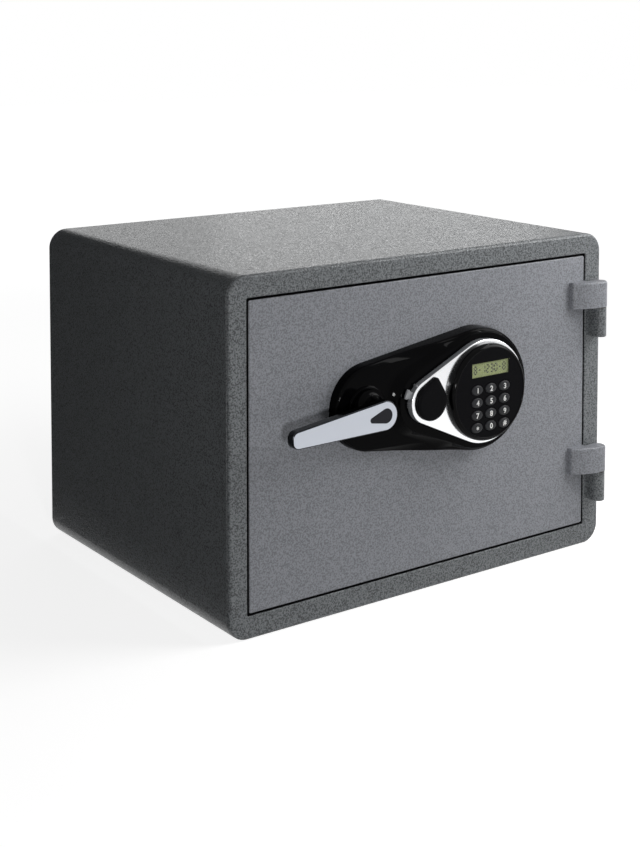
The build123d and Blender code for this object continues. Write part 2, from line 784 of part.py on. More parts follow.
lcd_frame = 1.4
with BuildPart() as lcd_module:
    block(lcd_x - lcd_width / 2 - lcd_frame, lcd_x + lcd_width / 2 + lcd_frame,
          lcd_z - lcd_height / 2 - lcd_frame, lcd_z + lcd_height / 2 + lcd_frame, -board_front, -face_back)
lcd_module.part.label = "lcd_module"
export_step(lcd_module.part, "parts/lcd_module.step")

# Keypad board and the rubber mat that springs the keys
with BuildPart() as keypad_board:
    rod(keypad_x, lock_z, skirt_inner, -board_back, -board_front)
keypad_board.part.label = "keypad_board"
export_step(keypad_board.part, "parts/keypad_board.step")

mat_front = 22.4
mat_half_width = 20.5
mat_margin = 3.6
mat_top = keys_top_z + mat_margin
mat_bottom = keys_top_z - (len(key_names) - 1) * key_pitch_z - mat_margin
with BuildPart() as key_mat:
    block(keys_x - mat_half_width, keys_x + mat_half_width, mat_bottom, mat_top, -board_front, -mat_front)
key_mat.part.label = "key_mat"
export_step(key_mat.part, "parts/key_mat.step")

# Key cover: a black drop that swings on a pin at its tip
cover_gap = 0.3
cover_front = 26.4
cover_x = -19.4
cover_round_radius = 16.0
cover_rim_radius = 1.5
cover_roof = 1.0
tip_x = -14.8
tip_z = 188.6
tip_radius = 3.2
pivot_radius = 1.2
with BuildPart() as key_cover:
    with BuildSketch(face_plane(-trim_front - cover_gap)):
        add(drop_outline((cover_x, lock_z), cover_round_radius, (tip_x, tip_z), tip_radius))
    extrude(amount=cover_front - trim_front - cover_gap)
    fillet(key_cover.faces().sort_by(Axis.Y)[0].edges(), cover_rim_radius)
    rod(tip_x, tip_z, pivot_radius + running_gap, -trim_front - cover_gap, cover_roof - cover_front,
        Mode.SUBTRACT)
key_cover.part.label = "key_cover"
export_step(key_cover.part, "parts/key_cover.step")

pivot_end_gap = 0.2
with BuildPart() as cover_pivot:
    rod(tip_x, tip_z, pivot_radius, -trim_front, cover_roof + pivot_end_gap - cover_front)
cover_pivot.part.label = "cover_pivot"
export_step(cover_pivot.part, "parts/cover_pivot.step")

# Emergency key cylinder and its turning plug
plug_radius = 6.0
cylinder_end = 36.0
cylinder_front = 22.0
tail_length = 24.0
tail_width = 9.0
tail_thickness = 3.0
tail_depth = cylinder_end + 0.6
keyway_half_width = 0.9
keyway_half_height = 4.2
keyway_depth = 12.0
with BuildPart() as key_cylinder:
    rod(key_x, lock_z, cylinder_radius, -cylinder_front, cylinder_end)
    rod(key_x, lock_z, plug_radius + running_gap, -cylinder_front, cylinder_end, Mode.SUBTRACT)
key_cylinder.part.label = "key_cylinder"
export_step(key_cylinder.part, "parts/key_cylinder.step")

with BuildPart() as key_plug:
    rod(key_x, lock_z, plug_radius, -cylinder_front, tail_depth)
    with BuildSketch(face_plane(tail_depth)):
        with Locations((key_x, lock_z - tail_length / 2)):
            SlotCenterToCenter(tail_length, tail_width, rotation=90)
    extrude(amount=-tail_thickness)
    block(key_x - keyway_half_width, key_x + keyway_half_width,
          lock_z - keyway_half_height, lock_z + keyway_half_height,
          -cylinder_front, keyway_depth - cylinder_front, Mode.SUBTRACT)
key_plug.part.label = "key_plug"
export_step(key_plug.part, "parts/key_plug.step")

# Spindle bush through the door, and the spindle
with BuildPart() as spindle_bush:
    rod(handle_x, lock_z, bush_radius, -seat_height, lock_plate_end)
    rod(handle_x, lock_z, spindle_radius + running_gap, -seat_height, lock_plate_end, Mode.SUBTRACT)
spindle_bush.part.label = "spindle_bush"
export_step(spindle_bush.part, "parts/spindle_bush.step")

arm_back = arm_front - arm_thickness
spindle_end = cam_depth + cam_thickness + 1.0
with BuildPart() as spindle:
    rod(handle_x, lock_z, spindle_radius, -arm_back, spindle_end)
spindle.part.label = "spindle"
export_step(spindle.part, "parts/spindle.step")

# Handle neck: flares from the arm down to the panel
neck_gap = 0.4
neck_base_radius = 17.0
neck_base_height = 2.0
neck_top_radius = 11.5
neck_waist_radius = 10.5
neck_waist_drop = 4.0
neck_flare = (11.7, 6.5)
with BuildPart() as handle_neck:
    with BuildSketch(Plane.XY.offset(lock_z)):
        with BuildLine():
            base_y = front_y - seat_height - neck_gap
            top_y = front_y - arm_back
            waist = (handle_x + neck_waist_radius, top_y + neck_waist_drop)
            base_edge = (handle_x + neck_base_radius, base_y - neck_base_height)
            Polyline(
                waist,
                (handle_x + neck_top_radius, top_y),
                (handle_x + spindle_radius, top_y),
                (handle_x + spindle_radius, base_y),
                (handle_x + neck_base_radius, base_y),
                base_edge,
            )
            Spline(
                base_edge,
                (handle_x + neck_flare[0], base_y - neck_flare[1]),
                waist,
                tangents=((-1, 0), (0, -1)),
            )
        make_face()
    revolve(axis=Axis((handle_x, 0, lock_z), (0, 1, 0)))
handle_neck.part.label = "handle_neck"
export_step(handle_neck.part, "parts/handle_neck.step")


def arm_point(along, across):
    # A point on the drooping arm: along it from the hub, and across it upwards.
    turn = handle_droop * pi / 180
    x = handle_x - along * cos(turn) - across * sin(turn)
    z = lock_z - along * sin(turn) + across * cos(turn)
    return (x, z)


# Handle arm: a tapered flat lever with a round hub end and a drop-shaped pocket for the inlay
tip_corner = 6.0
arm_edge_radius = 1.0
arm_pocket = 1.2
pocket_round = (-0.6, 0.0, 6.2)
pocket_tip = (13.6, -0.6, 2.4)
inlay_sink = 0.2


def pocket_outline():
    # The drop in the lever's hub: each end is given along and across the arm, with its radius.
    ends = [(arm_point(along, across), radius) for along, across, radius in (pocket_round, pocket_tip)]
    return drop_outline(*ends[0], *ends[1])


with BuildPart() as handle_arm:
    with BuildSketch(face_plane(-arm_back)):
        with Locations((handle_x, lock_z)):
            Circle(arm_hub_radius)
        for side in (-1, 1):
            with Locations(arm_point(arm_length - tip_corner, side * (arm_tip_half - tip_corner))):
                Circle(tip_corner)
        make_hull()
    extrude(amount=arm_thickness)
    fillet(handle_arm.faces().sort_by(Axis.Y)[0].edges(), arm_edge_radius)
    with BuildSketch(face_plane(-arm_front)):
        add(pocket_outline())
    extrude(amount=-arm_pocket, mode=Mode.SUBTRACT)
handle_arm.part.label = "handle_arm"
export_step(handle_arm.part, "parts/handle_arm.step")

with BuildPart() as handle_inlay:
    with BuildSketch(face_plane(arm_pocket - arm_front)):
        add(pocket_outline())
    extrude(amount=arm_pocket - inlay_sink)
handle_inlay.part.label = "handle_inlay"
export_step(handle_inlay.part, "parts/handle_inlay.step")


def spiral_point(turn, shift):
    # A point of the cam's spiral at a turn of the handle, shifted square to the spiral.
    radius = spiral_start + cam_rate * turn
    angle = pi + turn
    slant = sqrt(radius * radius + cam_rate * cam_rate)
    out = radius / slant * shift
    along = -cam_rate / slant * shift
    x = handle_x + (radius + out) * cos(angle) - along * sin(angle)
    z = lock_z + (radius + out) * sin(angle) + along * cos(angle)
    return (x, z)


# Cam disc: its spiral slot moves the bolts evenly as the handle turns
slot_half = follower_radius + follower_gap
slot_steps = 8
turns = [handle_turn * step / slot_steps for step in range(slot_steps + 1)]


def slot_end(turn, sense):
    # The outermost point of the slot's round end.
    radius = spiral_start + cam_rate * turn
    heading = pi + turn + atan2(radius, cam_rate)
    centre_x, centre_z = spiral_point(turn, 0)
    return (centre_x + sense * slot_half * cos(heading), centre_z + sense * slot_half * sin(heading))


with BuildPart() as cam_disc:
    rod(handle_x, lock_z, cam_radius, cam_depth, cam_depth + cam_thickness)
    rod(handle_x, lock_z, spindle_radius, cam_depth, cam_depth + cam_thickness, Mode.SUBTRACT)
    with BuildSketch(face_plane(cam_depth)):
        with BuildLine():
            outer_side = Spline([spiral_point(turn, slot_half) for turn in turns])
            inner_side = Spline([spiral_point(turn, -slot_half) for turn in turns])
            ThreePointArc(inner_side @ 0, slot_end(turns[0], -1), outer_side @ 0)
            ThreePointArc(inner_side @ 1, slot_end(turns[-1], 1), outer_side @ 1)
        make_face()
    extrude(amount=-cam_thickness, mode=Mode.SUBTRACT)
cam_disc.part.label = "cam_disc"
export_step(cam_disc.part, "parts/cam_disc.step")

# Bolt carriage: a bar that joins both bolts, with an arm over the cam
foot_thickness = 4.0
foot_front = carriage_depth - 3.0
foot_end = bolt_depth + 9.0
bar_left = bolt_rear_x + foot_thickness
bar_right = -104.0
arm_right = -62.0
arm_bottom = 150.0
arm_top = 193.0
notch_width = 7.0
notch_height = 6.5
foot_half = 10.0
carriage_end = carriage_depth + carriage_thickness
follower_x = handle_x - spiral_start
with BuildPart() as bolt_carriage:
    block(bar_left, bar_right, bolt_zs[0] - foot_half, bolt_zs[1] + foot_half, carriage_depth, carriage_end)
    block(bar_left, arm_right, arm_bottom, arm_top, carriage_depth, carriage_end)
    for z in bolt_zs:
        block(bolt_rear_x, bar_left, z - foot_half, z + foot_half, foot_front, foot_end)
    for shift in (0, bolt_travel):
        notch_x = plunger_x + shift
        block(notch_x - notch_width / 2, notch_x + notch_width / 2, arm_bottom, arm_bottom + notch_height,
              carriage_depth, carriage_end, Mode.SUBTRACT)
    rod(follower_x, lock_z, follower_radius, carriage_depth, carriage_end, Mode.SUBTRACT)
bolt_carriage.part.label = "bolt_carriage"
export_step(bolt_carriage.part, "parts/bolt_carriage.step")

pin_end_gap = 0.2
with BuildPart() as follower_pin:
    rod(follower_x, lock_z, follower_radius, cam_depth + pin_end_gap, carriage_end)
follower_pin.part.label = "follower_pin"
export_step(follower_pin.part, "parts/follower_pin.step")

# Locking bolts, drawn back level with the side of the plug
bolt_chamfer = 1.5
with BuildPart() as locking_bolts:
    for z in bolt_zs:
        cross_rod(z, bolt_depth, bolt_radius, bolt_tip_x, bolt_rear_x)
    chamfer(locking_bolts.edges().group_by(Axis.X)[0], bolt_chamfer)
locking_bolts.part.label = "locking_bolts"
export_step(locking_bolts.part, "parts/locking_bolts.step")

# Guides that the bolts slide in
guide_left = -158.0
guide_right = -146.0
guide_half = 13.0
guide_end = bolt_depth + 12.0
with BuildPart() as bolt_guides:
    for z in bolt_zs:
        block(guide_left, guide_right, z - guide_half, z + guide_half, lock_plate_end, guide_end)
        cross_rod(z, bolt_depth, bolt_radius + running_gap, guide_left, guide_right, Mode.SUBTRACT)
bolt_guides.part.label = "bolt_guides"
export_step(bolt_guides.part, "parts/bolt_guides.step")

# Blocking magnet: its plunger rises into a notch of the carriage
plunger_depth = 39.5
magnet_half = 10.0
magnet_bottom = 92.0
magnet_top = 128.0
magnet_edge_radius = 1.5
plunger_bottom = 112.0
plunger_top = 148.5
plunger_seat = 2.0
plunger_chamfer = 0.6
with BuildPart() as lock_magnet:
    block(plunger_x - magnet_half, plunger_x + magnet_half, magnet_bottom, magnet_top, lock_plate_end,
          lock_plate_end + 2 * magnet_half)
    fillet(lock_magnet.edges().filter_by(Axis.Z), magnet_edge_radius)
    upright_rod(plunger_x, front_y + plunger_depth, plunger_radius + running_gap,
                plunger_bottom - plunger_seat, magnet_top, Mode.SUBTRACT)
lock_magnet.part.label = "lock_magnet"
export_step(lock_magnet.part, "parts/lock_magnet.step")

with BuildPart() as lock_plunger:
    upright_rod(plunger_x, front_y + plunger_depth, plunger_radius, plunger_bottom, plunger_top)
    chamfer(lock_plunger.edges().group_by(Axis.Z)[-1], plunger_chamfer)
lock_plunger.part.label = "lock_plunger"
export_step(lock_plunger.part, "parts/lock_plunger.step")
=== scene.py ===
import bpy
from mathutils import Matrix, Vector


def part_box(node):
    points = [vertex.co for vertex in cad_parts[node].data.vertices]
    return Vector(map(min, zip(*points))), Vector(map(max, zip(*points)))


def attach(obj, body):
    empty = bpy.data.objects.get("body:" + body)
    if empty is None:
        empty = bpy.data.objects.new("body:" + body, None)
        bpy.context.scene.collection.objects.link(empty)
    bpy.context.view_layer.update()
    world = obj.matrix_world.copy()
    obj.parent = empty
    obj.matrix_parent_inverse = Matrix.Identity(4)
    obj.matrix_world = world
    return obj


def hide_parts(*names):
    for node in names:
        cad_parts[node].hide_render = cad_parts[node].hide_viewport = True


bl_info = {
    "name": "Fireproof safe",
    "version": (1, 0, 0),
    "blender": (4, 5, 0),
    "location": "View3D > Sidebar > Safe",
    "description": "Finishes a small fireproof safe with an electronic lock round its packed model",
    "category": "Object",
}

import math
from types import SimpleNamespace

import bmesh
import bpy
from mathutils import Matrix, Vector

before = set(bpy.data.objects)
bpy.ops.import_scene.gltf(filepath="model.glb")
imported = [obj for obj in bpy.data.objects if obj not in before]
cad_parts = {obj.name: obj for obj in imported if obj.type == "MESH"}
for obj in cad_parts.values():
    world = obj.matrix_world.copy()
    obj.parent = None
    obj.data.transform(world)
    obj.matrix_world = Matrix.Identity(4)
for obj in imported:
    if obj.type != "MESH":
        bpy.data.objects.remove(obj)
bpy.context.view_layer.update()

MM = 0.001
TAU = 2 * math.pi
SHARP = math.radians(35)
IMAGE_HEIGHT = 847


def box_mm(name):
    """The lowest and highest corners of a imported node, in millimetres."""
    return tuple(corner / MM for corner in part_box(name))


def middle_mm(name):
    """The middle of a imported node's box, in millimetres."""
    low, high = box_mm(name)
    return (low + high) / 2


# Places and sizes in millimetres. "Out" is how far a point stands in front of the door's face.
FRONT = box_mm("door_skin")[0].y
BACK = box_mm("outer_shell")[1].y
LOCK_Z = middle_mm("keypad_bezel").z
KEYPAD_X = middle_mm("keypad_bezel").x
KEY_X = middle_mm("key_cylinder").x
HANDLE_X = middle_mm("spindle").x

# Sheet of the wrap, jamb and door pan, plate of the front frame, and the gap and corners round the door
SHEET = 1.5
PLATE = 3.2
DOOR_GAP = 2.0
DOOR_CORNER = 1.6
OPENING_MIDDLE = middle_mm("door_skin")
OPENING_HALF = (box_mm("door_skin")[1] - box_mm("door_skin")[0]) / 2 + Vector((DOOR_GAP, 0, DOOR_GAP))

# Radii of the big and small ends of three drops: the panel's foot, the rim of its raised part, and the trim
PANEL_BIG, PANEL_SMALL = 54.0, 37.0
RIM_BIG, RIM_SMALL = 50.6, 27.8
TRIM_BIG, TRIM_SMALL = 45.2, 18.8
PANEL_X = box_mm("lock_panel")[0].x + PANEL_SMALL

# How far the panel stands out at its left and right ends and at its raised part, and the trim's two sides
PANEL_LEFT_OUT, PANEL_RIGHT_OUT = 9.3, 17.0
PLATEAU = 18.0
TRIM_FRONT, TRIM_BACK = 23.0, 16.0


def linear(hex_colour):
    """The linear colour of an sRGB hex value."""
    parts = [int(hex_colour[i:i + 2], 16) / 255 for i in (1, 3, 5)]
    return tuple(c / 12.92 if c <= 0.04045 else ((c + 0.055) / 1.055) ** 2.4 for c in parts)


def length(name, description, size):
    """A length that a user may change, given in millimetres."""
    return bpy.props.FloatProperty(
        name=name, description=description, default=size * MM, min=0, precision=4,
        unit="LENGTH", subtype="DISTANCE")


def colour(name, description, hex_colour):
    """A colour that a user may change."""
    return bpy.props.FloatVectorProperty(
        name=name, description=description, default=linear(hex_colour), min=0, max=1, size=3,
        subtype="COLOR")


class SafeSizes(bpy.types.PropertyGroup):
    edge_radius: length("Body edge radius", "Radius of the four long edges of the body", 17.3)
    front_round: length("Front edge rounding", "Rounding round the front of the frame", 2.6)
    opening_round: length("Opening rounding", "Rounding of the fold round the door opening", 1.0)
    seam: length("Seam", "Width and depth of the seam between frame and shell", 0.7)
    door_round: length("Door edge rounding", "Rounding of the folded edges of the door", 1.0)
    panel_round: length("Panel shoulder", "Rounding along the shoulder of the lock panel", 3.0)
    flank: length("Panel flank", "Width of the slope up to the raised part of the panel", 9.0)
    trim_gap: length("Trim gap", "Fine gap round the bright trim", 0.3)
    cap_dome: length("Key dome", "Rise of the middle of a key cap", 0.35)
    legend_height: length("Legend height", "Height of the figures on the keys", 4.7)
    cell: length("Hammer cell", "Spacing of the dimples in the hammered paint", 1.8)
    screw_head: length("Back screw head", "Radius of the screw heads on the back", 4.2)


class SafeColours(bpy.types.PropertyGroup):
    body: colour("Body paint", "Hammered paint of the body and frame", "#66696b")
    door: colour("Door paint", "Hammered paint of the door and its hinge halves", "#83858a")
    black: colour("Gloss black", "Black moulded parts of the lock", "#040405")
    face: colour("Keypad face", "Dull black disc under the keys", "#08080a")
    cap: colour("Key caps", "Rubbery dark grey of the keys", "#16171a")
    ink: colour("Key figures", "White print of the figures", "#e6e6e4")
    display: colour("Display", "Resting colour of the liquid crystal display", "#8f9868")
    liner: colour("Liner", "Moulded inside of the safe", "#a4a39d")
    shelf: colour("Inside paint", "Smooth paint of shelf and door plug", "#55575a")


def in_mm(context):
    """The sizes that a user may change, in millimetres."""
    sizes = context.scene.safe_sizes
    return SimpleNamespace(**{name: getattr(sizes, name) / MM for name in SafeSizes.__annotations__})


# Materials

def node(tree, kind, inputs=None, **settings):
    """Adds a node with its settings, and sets or links its inputs."""
    made = tree.nodes.new(kind)
    for key, value in settings.items():
        setattr(made, key, value)
    for key, value in (inputs or {}).items():
        if isinstance(value, bpy.types.NodeSocket):
            tree.links.new(value, made.inputs[key])
        else:
            made.inputs[key].default_value = value
    return made


def new_finish(name, shader):
    """A material with the shader's own sockets set, its tree, its shader and its object coordinates."""
    material = bpy.data.materials.new(name)
    material.use_nodes = True
    tree = material.node_tree
    principled = tree.nodes["Principled BSDF"]
    for key, value in shader.items():
        principled.inputs[key].default_value = value
    return material, tree, principled, node(tree, "ShaderNodeTexCoord").outputs["Object"]


def coat(tree, principled, tint, rough=None, relief=None):
    """Puts patterns that run from 0 to 1 on a shader.

    tint is a colour, its pattern and the share by which that darkens and lightens it, rough is a pattern and
    the roughness at its 0 and 1, and relief is a pattern, its strength and its depth in metres.
    """
    tone, pattern, share = tint
    dark, light = ((*[min(1, c * (1 + way * share)) for c in tone], 1) for way in (-1, 1))
    mixed = node(tree, "ShaderNodeMix", {"Factor": pattern, "A": dark, "B": light}, data_type="RGBA")
    tree.links.new(mixed.outputs["Result"], principled.inputs["Base Color"])
    if rough:
        pattern, at_zero, at_one = rough
        mapped = node(tree, "ShaderNodeMapRange", {"Value": pattern, "To Min": at_zero, "To Max": at_one})
        tree.links.new(mapped.outputs["Result"], principled.inputs["Roughness"])
    if relief:
        pattern, strength, depth = relief
        bump = node(tree, "ShaderNodeBump", {"Strength": strength, "Distance": depth, "Height": pattern})
        tree.links.new(bump.outputs["Normal"], principled.inputs["Normal"])


def hammer_enamel(name, tone, cell, shade, relief, gloss):
    """Stove enamel with a hammer finish: dimples whose rims catch the light, with pale and dark specks."""
    material, tree, principled, place = new_finish(name, {"IOR": 1.5, "Specular IOR Level": gloss})
    # The dimples run into each other, so their places are pushed about by a slow noise
    drift = node(tree, "ShaderNodeTexNoise", {"Vector": place, "Scale": 1 / (3 * cell), "Detail": 2.0})
    pushed = node(tree, "ShaderNodeVectorMath", {0: drift.outputs["Color"], 1: (cell, cell, cell)},
                  operation="MULTIPLY")
    moved = node(tree, "ShaderNodeVectorMath", {0: place, 1: pushed.outputs[0]}, operation="ADD")
    dimples = node(tree, "ShaderNodeTexVoronoi",
                   {"Vector": moved.outputs[0], "Scale": 1 / cell, "Smoothness": 0.35},
                   feature="SMOOTH_F1")
    rims = node(tree, "ShaderNodeMapRange",
                {"Value": dimples.outputs["Distance"], "To Min": 0.0, "To Max": 1.3}).outputs["Result"]
    fine = node(tree, "ShaderNodeTexNoise",
                {"Vector": place, "Scale": 1.3 / cell, "Detail": 2.0}).outputs["Fac"]
    cloud = node(tree, "ShaderNodeTexNoise", {"Vector": place, "Scale": 1 / (30 * MM), "Detail": 2.0})
    height = node(tree, "ShaderNodeMix", {"Factor": 0.6, "A": rims, "B": fine},
                  data_type="FLOAT").outputs["Result"]
    speckle = node(tree, "ShaderNodeMapRange",
                   {"Value": fine, "From Min": 0.38, "From Max": 0.62}).outputs["Result"]
    flecked = node(tree, "ShaderNodeMix", {"Factor": 0.12, "A": speckle, "B": cloud.outputs["Fac"]},
                   data_type="FLOAT").outputs["Result"]
    coat(tree, principled, (tone, flecked, shade), (speckle, 0.4, 0.24), (height, 1.0, relief * cell))
    return material


def grained(name, tone, rough, grain, depth, gloss=0.5, ior=1.5, mottle=0.06, cloud=20.0):
    """A moulded, cast or painted surface, with the width and depth of its grain and the width of its clouds
    in millimetres. The clouds give a soft mottle and a little unevenness in the gloss."""
    material, tree, principled, place = new_finish(name, {"IOR": ior, "Specular IOR Level": gloss})
    fine, soft = (node(tree, "ShaderNodeTexNoise",
                       {"Vector": place, "Scale": 1 / (width * MM), "Detail": 3.0}).outputs["Fac"]
                  for width in (grain, cloud))
    both = node(tree, "ShaderNodeMix", {"Factor": 0.5, "A": fine, "B": soft},
                data_type="FLOAT").outputs["Result"]
    coat(tree, principled, (tone, both, mottle), (soft, rough * 0.8, rough * 1.25), (fine, 0.4, depth * MM))
    return material


def brushed(name, tone, rough, pitch, mottle=0.03, stretch=(1, 1, 1)):
    """Metal with brush lines at a pitch in millimetres, drawn out along one way where it was brushed so."""
    material, tree, principled, place = new_finish(name, {"Metallic": 1.0})
    drawn = node(tree, "ShaderNodeMapping", {"Vector": place, "Scale": stretch}).outputs["Vector"]
    lines = node(tree, "ShaderNodeTexNoise",
                 {"Vector": drawn, "Scale": 1 / (pitch * MM), "Detail": 4.0}).outputs["Fac"]
    cloud = node(tree, "ShaderNodeTexNoise", {"Vector": place, "Scale": 1 / (30 * MM), "Detail": 2.0})
    both = node(tree, "ShaderNodeMix", {"Factor": 0.5, "A": lines, "B": cloud.outputs["Fac"]},
                data_type="FLOAT").outputs["Result"]
    coat(tree, principled, (tone, both, mottle), (both, rough * 0.7, rough * 1.4), (lines, 0.15, 0.03 * MM))
    return material


def circuit_laminate(name):
    """Green solder mask over a printed circuit: fine copper lines show through as paler strips."""
    material, tree, principled, place = new_finish(name, {"IOR": 1.5, "Roughness": 0.35})
    tracks = node(tree, "ShaderNodeTexBrick",
                  {"Vector": place, "Color1": (*linear("#1d5a33"), 1), "Color2": (*linear("#17482a"), 1),
                   "Mortar": (*linear("#4f8a4d"), 1), "Scale": 1 / (12 * MM), "Mortar Size": 0.012})
    fine = node(tree, "ShaderNodeTexNoise", {"Vector": place, "Scale": 1 / (0.6 * MM)})
    bump = node(tree, "ShaderNodeBump",
                {"Strength": 0.2, "Distance": 0.1 * MM, "Height": fine.outputs["Fac"]})
    tree.links.new(tracks.outputs["Color"], principled.inputs["Base Color"])
    tree.links.new(bump.outputs["Normal"], principled.inputs["Normal"])
    return material


def clear_window(name):
    """Clear acrylic: a thin sheet that lets the display through and only adds a faint gloss."""
    material, tree, principled, place = new_finish(
        name, {"IOR": 1.49, "Alpha": 0.07, "Specular IOR Level": 0.5})
    dust = node(tree, "ShaderNodeTexNoise",
                {"Vector": place, "Scale": 1 / (2 * MM), "Detail": 3.0}).outputs["Fac"]
    coat(tree, principled, (linear("#c9cfae"), dust, 0.05), (dust, 0.05, 0.15))
    return material


def build_finishes(context):
    """All the finishes of the safe, by the record's material slots and by their own short names."""
    tones = context.scene.safe_colours
    cell = context.scene.safe_sizes.cell
    return {
        # Dark grey hammer enamel: dull sheen, specks of light on the rims of its dimples
        "body_paint": hammer_enamel("hammer_enamel_body", tones.body, cell, 0.62, 0.2, 0.26),
        # Paler, flatter hammer enamel: finer specks and a satin look
        "door_paint": hammer_enamel("hammer_enamel_door", tones.door, cell, 0.3, 0.08, 0.2),
        # Painted shade: near-black on the folded sides in the gap round the door, where the gap lies in shade;
        # dull, it returns almost no light
        "primer": grained("painted_gap_shade", linear("#141415"), 0.8, 0.8, 0.05, gloss=0.05),
        # Bright chrome plate: nearly white with a soft edge to what it mirrors
        "chrome": brushed("chrome_plate", linear("#e9eaec"), 0.16, 0.6, 0.02),
        # Satin nickel plate on the lever: paler and softer than chrome, brushed along the lever
        "satin_silver": brushed("satin_nickel_plate", linear("#b6bac2"), 0.3, 0.4, stretch=(0.12, 1, 1)),
        # Painted reflection: the lever's plate with its colour darkened on the walls, standing in for the
        # shadowed door they mirror, with one hard highlight
        "dark_wall_reflection": brushed("painted_reflection_wall_plate", linear("#2e3033"), 0.12, 0.6, 0.02),
        # Painted reflection: the trim's walls and lug in an even grey instead of bright plate, standing in for
        # the darker surroundings they mirror
        "painted_reflection_trim_grey": grained("painted_reflection_trim_grey", linear("#85878a"), 0.3, 0.4, 0.02),
        # Polished black ABS: deep black with small hard highlights
        "black_gloss": grained("polished_black_abs", tones.black, 0.05, 6.0, 0.005, gloss=0.03, mottle=0.15),
        # Lacquered ring: black with sharp, bright highlights
        "ring_black": grained("lacquered_ring", tones.black, 0.05, 6.0, 0.005, gloss=0.06, mottle=0.15),
        # Textured black ABS: no mirror, only a grey bloom at the edges
        "black_satin": grained("textured_black_abs", tones.face, 0.5, 0.5, 0.04, gloss=0.03),
        # Matt black cap: an even charcoal, a touch paler than the panel round it
        "cover_black": grained("matt_black_cap", linear("#0a0a0c"), 0.4, 0.5, 0.03, gloss=0.03),
        # Silicone keys: soft dull rubber
        "key_plastic": grained("silicone_keys", tones.cap, 0.4, 0.4, 0.03, gloss=0.3, ior=1.43),
        # Acrylic over the display: hardly there but for a faint gloss
        "window": clear_window("clear_acrylic"),
        # Liquid crystal cell: grey-green with a paper-like grain
        "display": grained("liquid_crystal_cell", tones.display, 0.6, 0.4, 0.01, gloss=0.2, mottle=0.12,
                           cloud=4.0),
        # Cast gypsum filling: chalky, full of pores
        "fire_filling": grained("cast_gypsum", linear("#b9b4a8"), 0.9, 2.0, 0.6, ior=1.52, mottle=0.12),
        # Moulded ABS liner: light grey with a spark-eroded grain
        "liner_plastic": grained("moulded_grey_abs", tones.liner, 0.45, 1.2, 0.12, gloss=0.35),
        # Powder coat: smooth dark grey with faint orange peel
        "shelf_paint": grained("powder_coat", tones.shelf, 0.4, 1.6, 0.1, gloss=0.4),
        # Zinc-plated steel: grey-blue metal with cloudy patches
        "zinc_steel": brushed("zinc_plated_steel", linear("#b9bec3"), 0.34, 1.0, 0.1),
        # Turned and polished steel of the bolts: fine rings, a long soft highlight
        "bolt_steel": brushed("turned_bolt_steel", linear("#c9cbcc"), 0.2, 0.4, stretch=(0.2, 1, 1)),
        # Turned brass: warm metal with a soft sheen
        "brass": brushed("turned_brass", linear("#d9b36a"), 0.28, 0.6, 0.06),
        # Painted shade: brass washers darkened so that the joint of the hinge reads as a thin dark line of
        # shade
        "joint_shade_brass": brushed("joint_shade_brass", linear("#3a3226"), 0.4, 0.6, 0.1),
        # Graphite seal strip: matt and fibrous
        "seal_strip": grained("graphite_seal", linear("#2b2928"), 0.85, 0.8, 0.2, mottle=0.2),
        # Solder mask: glossy green with paler tracks
        "circuit_board": circuit_laminate("circuit_laminate"),
        # Printed film round the cells: smooth, with a clear gloss
        "cell_wrap": grained("cell_wrap_film", linear("#3f5f8a"), 0.25, 1.0, 0.02),
        # Vinyl sheath of the cable: smooth and dull
        "cable_sheath": grained("vinyl_sheath", linear("#303032"), 0.5, 0.6, 0.04),
        # Screen-printed ink: flat white, a little rough
        "ink": grained("white_print", tones.ink, 0.55, 0.3, 0.01, mottle=0.03),
        # Switched segments of the display: dark olive
        "segment": grained("dark_segment", linear("#16180f"), 0.6, 0.4, 0.01, mottle=0.1),
        # Grained black insert of the lever: dull, with a grey bloom
        "inlay": grained("textured_inlay", linear("#232327"), 0.55, 0.5, 0.05, gloss=0.1, mottle=0.12),
    }


FINISHES = {}

# Nodes whose finish differs from the rest of their material slot; the hinge washers' dark brass is painted
# shade in the joint
OWN_FINISHES = {"handle_inlay": "inlay", "hinge_washers": "joint_shade_brass"}


# Shapes

def point(x, z, out):
    """A point in metres from millimetres across, up and in front of the door's face."""
    return Vector((x, FRONT - out, z)) * MM


def arc(grow, out, radius, start, end, steps):
    """Profile points (grow, out) round a centre, from one angle in degrees to another."""
    turns = [math.radians(start + (end - start) * step / steps) for step in range(steps + 1)]
    return [(grow + radius * math.cos(t), out + radius * math.sin(t)) for t in turns]


def quarter(grow, out, radius, steps=6):
    """Profile points (grow, out) that round an outer edge from its wall on to its face."""
    return arc(grow - radius, out - radius, radius, 0, 90, steps)


def shares(steps):
    """The shares of a run at the end of each of its equal steps."""
    return [step / steps for step in range(1, steps + 1)]


def hull_ring(circles, grow=0.0, steps=96):
    """Points (x, z) round the tight outline of some circles (x, z, radius), moved outwards by grow."""
    ring = []
    for step in range(steps):
        across, up = math.cos(TAU * step / steps), math.sin(TAU * step / steps)
        x, z, radius = max(circles, key=lambda c: c[0] * across + c[1] * up + c[2])
        ring.append((x + (radius + grow) * across, z + (radius + grow) * up))
    return ring


def corners(left, right, bottom, top, radius):
    """The four circles in the corners of a rounded rectangle."""
    return [(x, z, radius) for x in (left + radius, right - radius) for z in (bottom + radius, top - radius)]


def box_corners(low, high, radius, inset=0.0):
    """The four circles in the corners of a node's box as it is seen from the front."""
    return corners(low.x + inset, high.x - inset, low.z + inset, high.z - inset, radius)


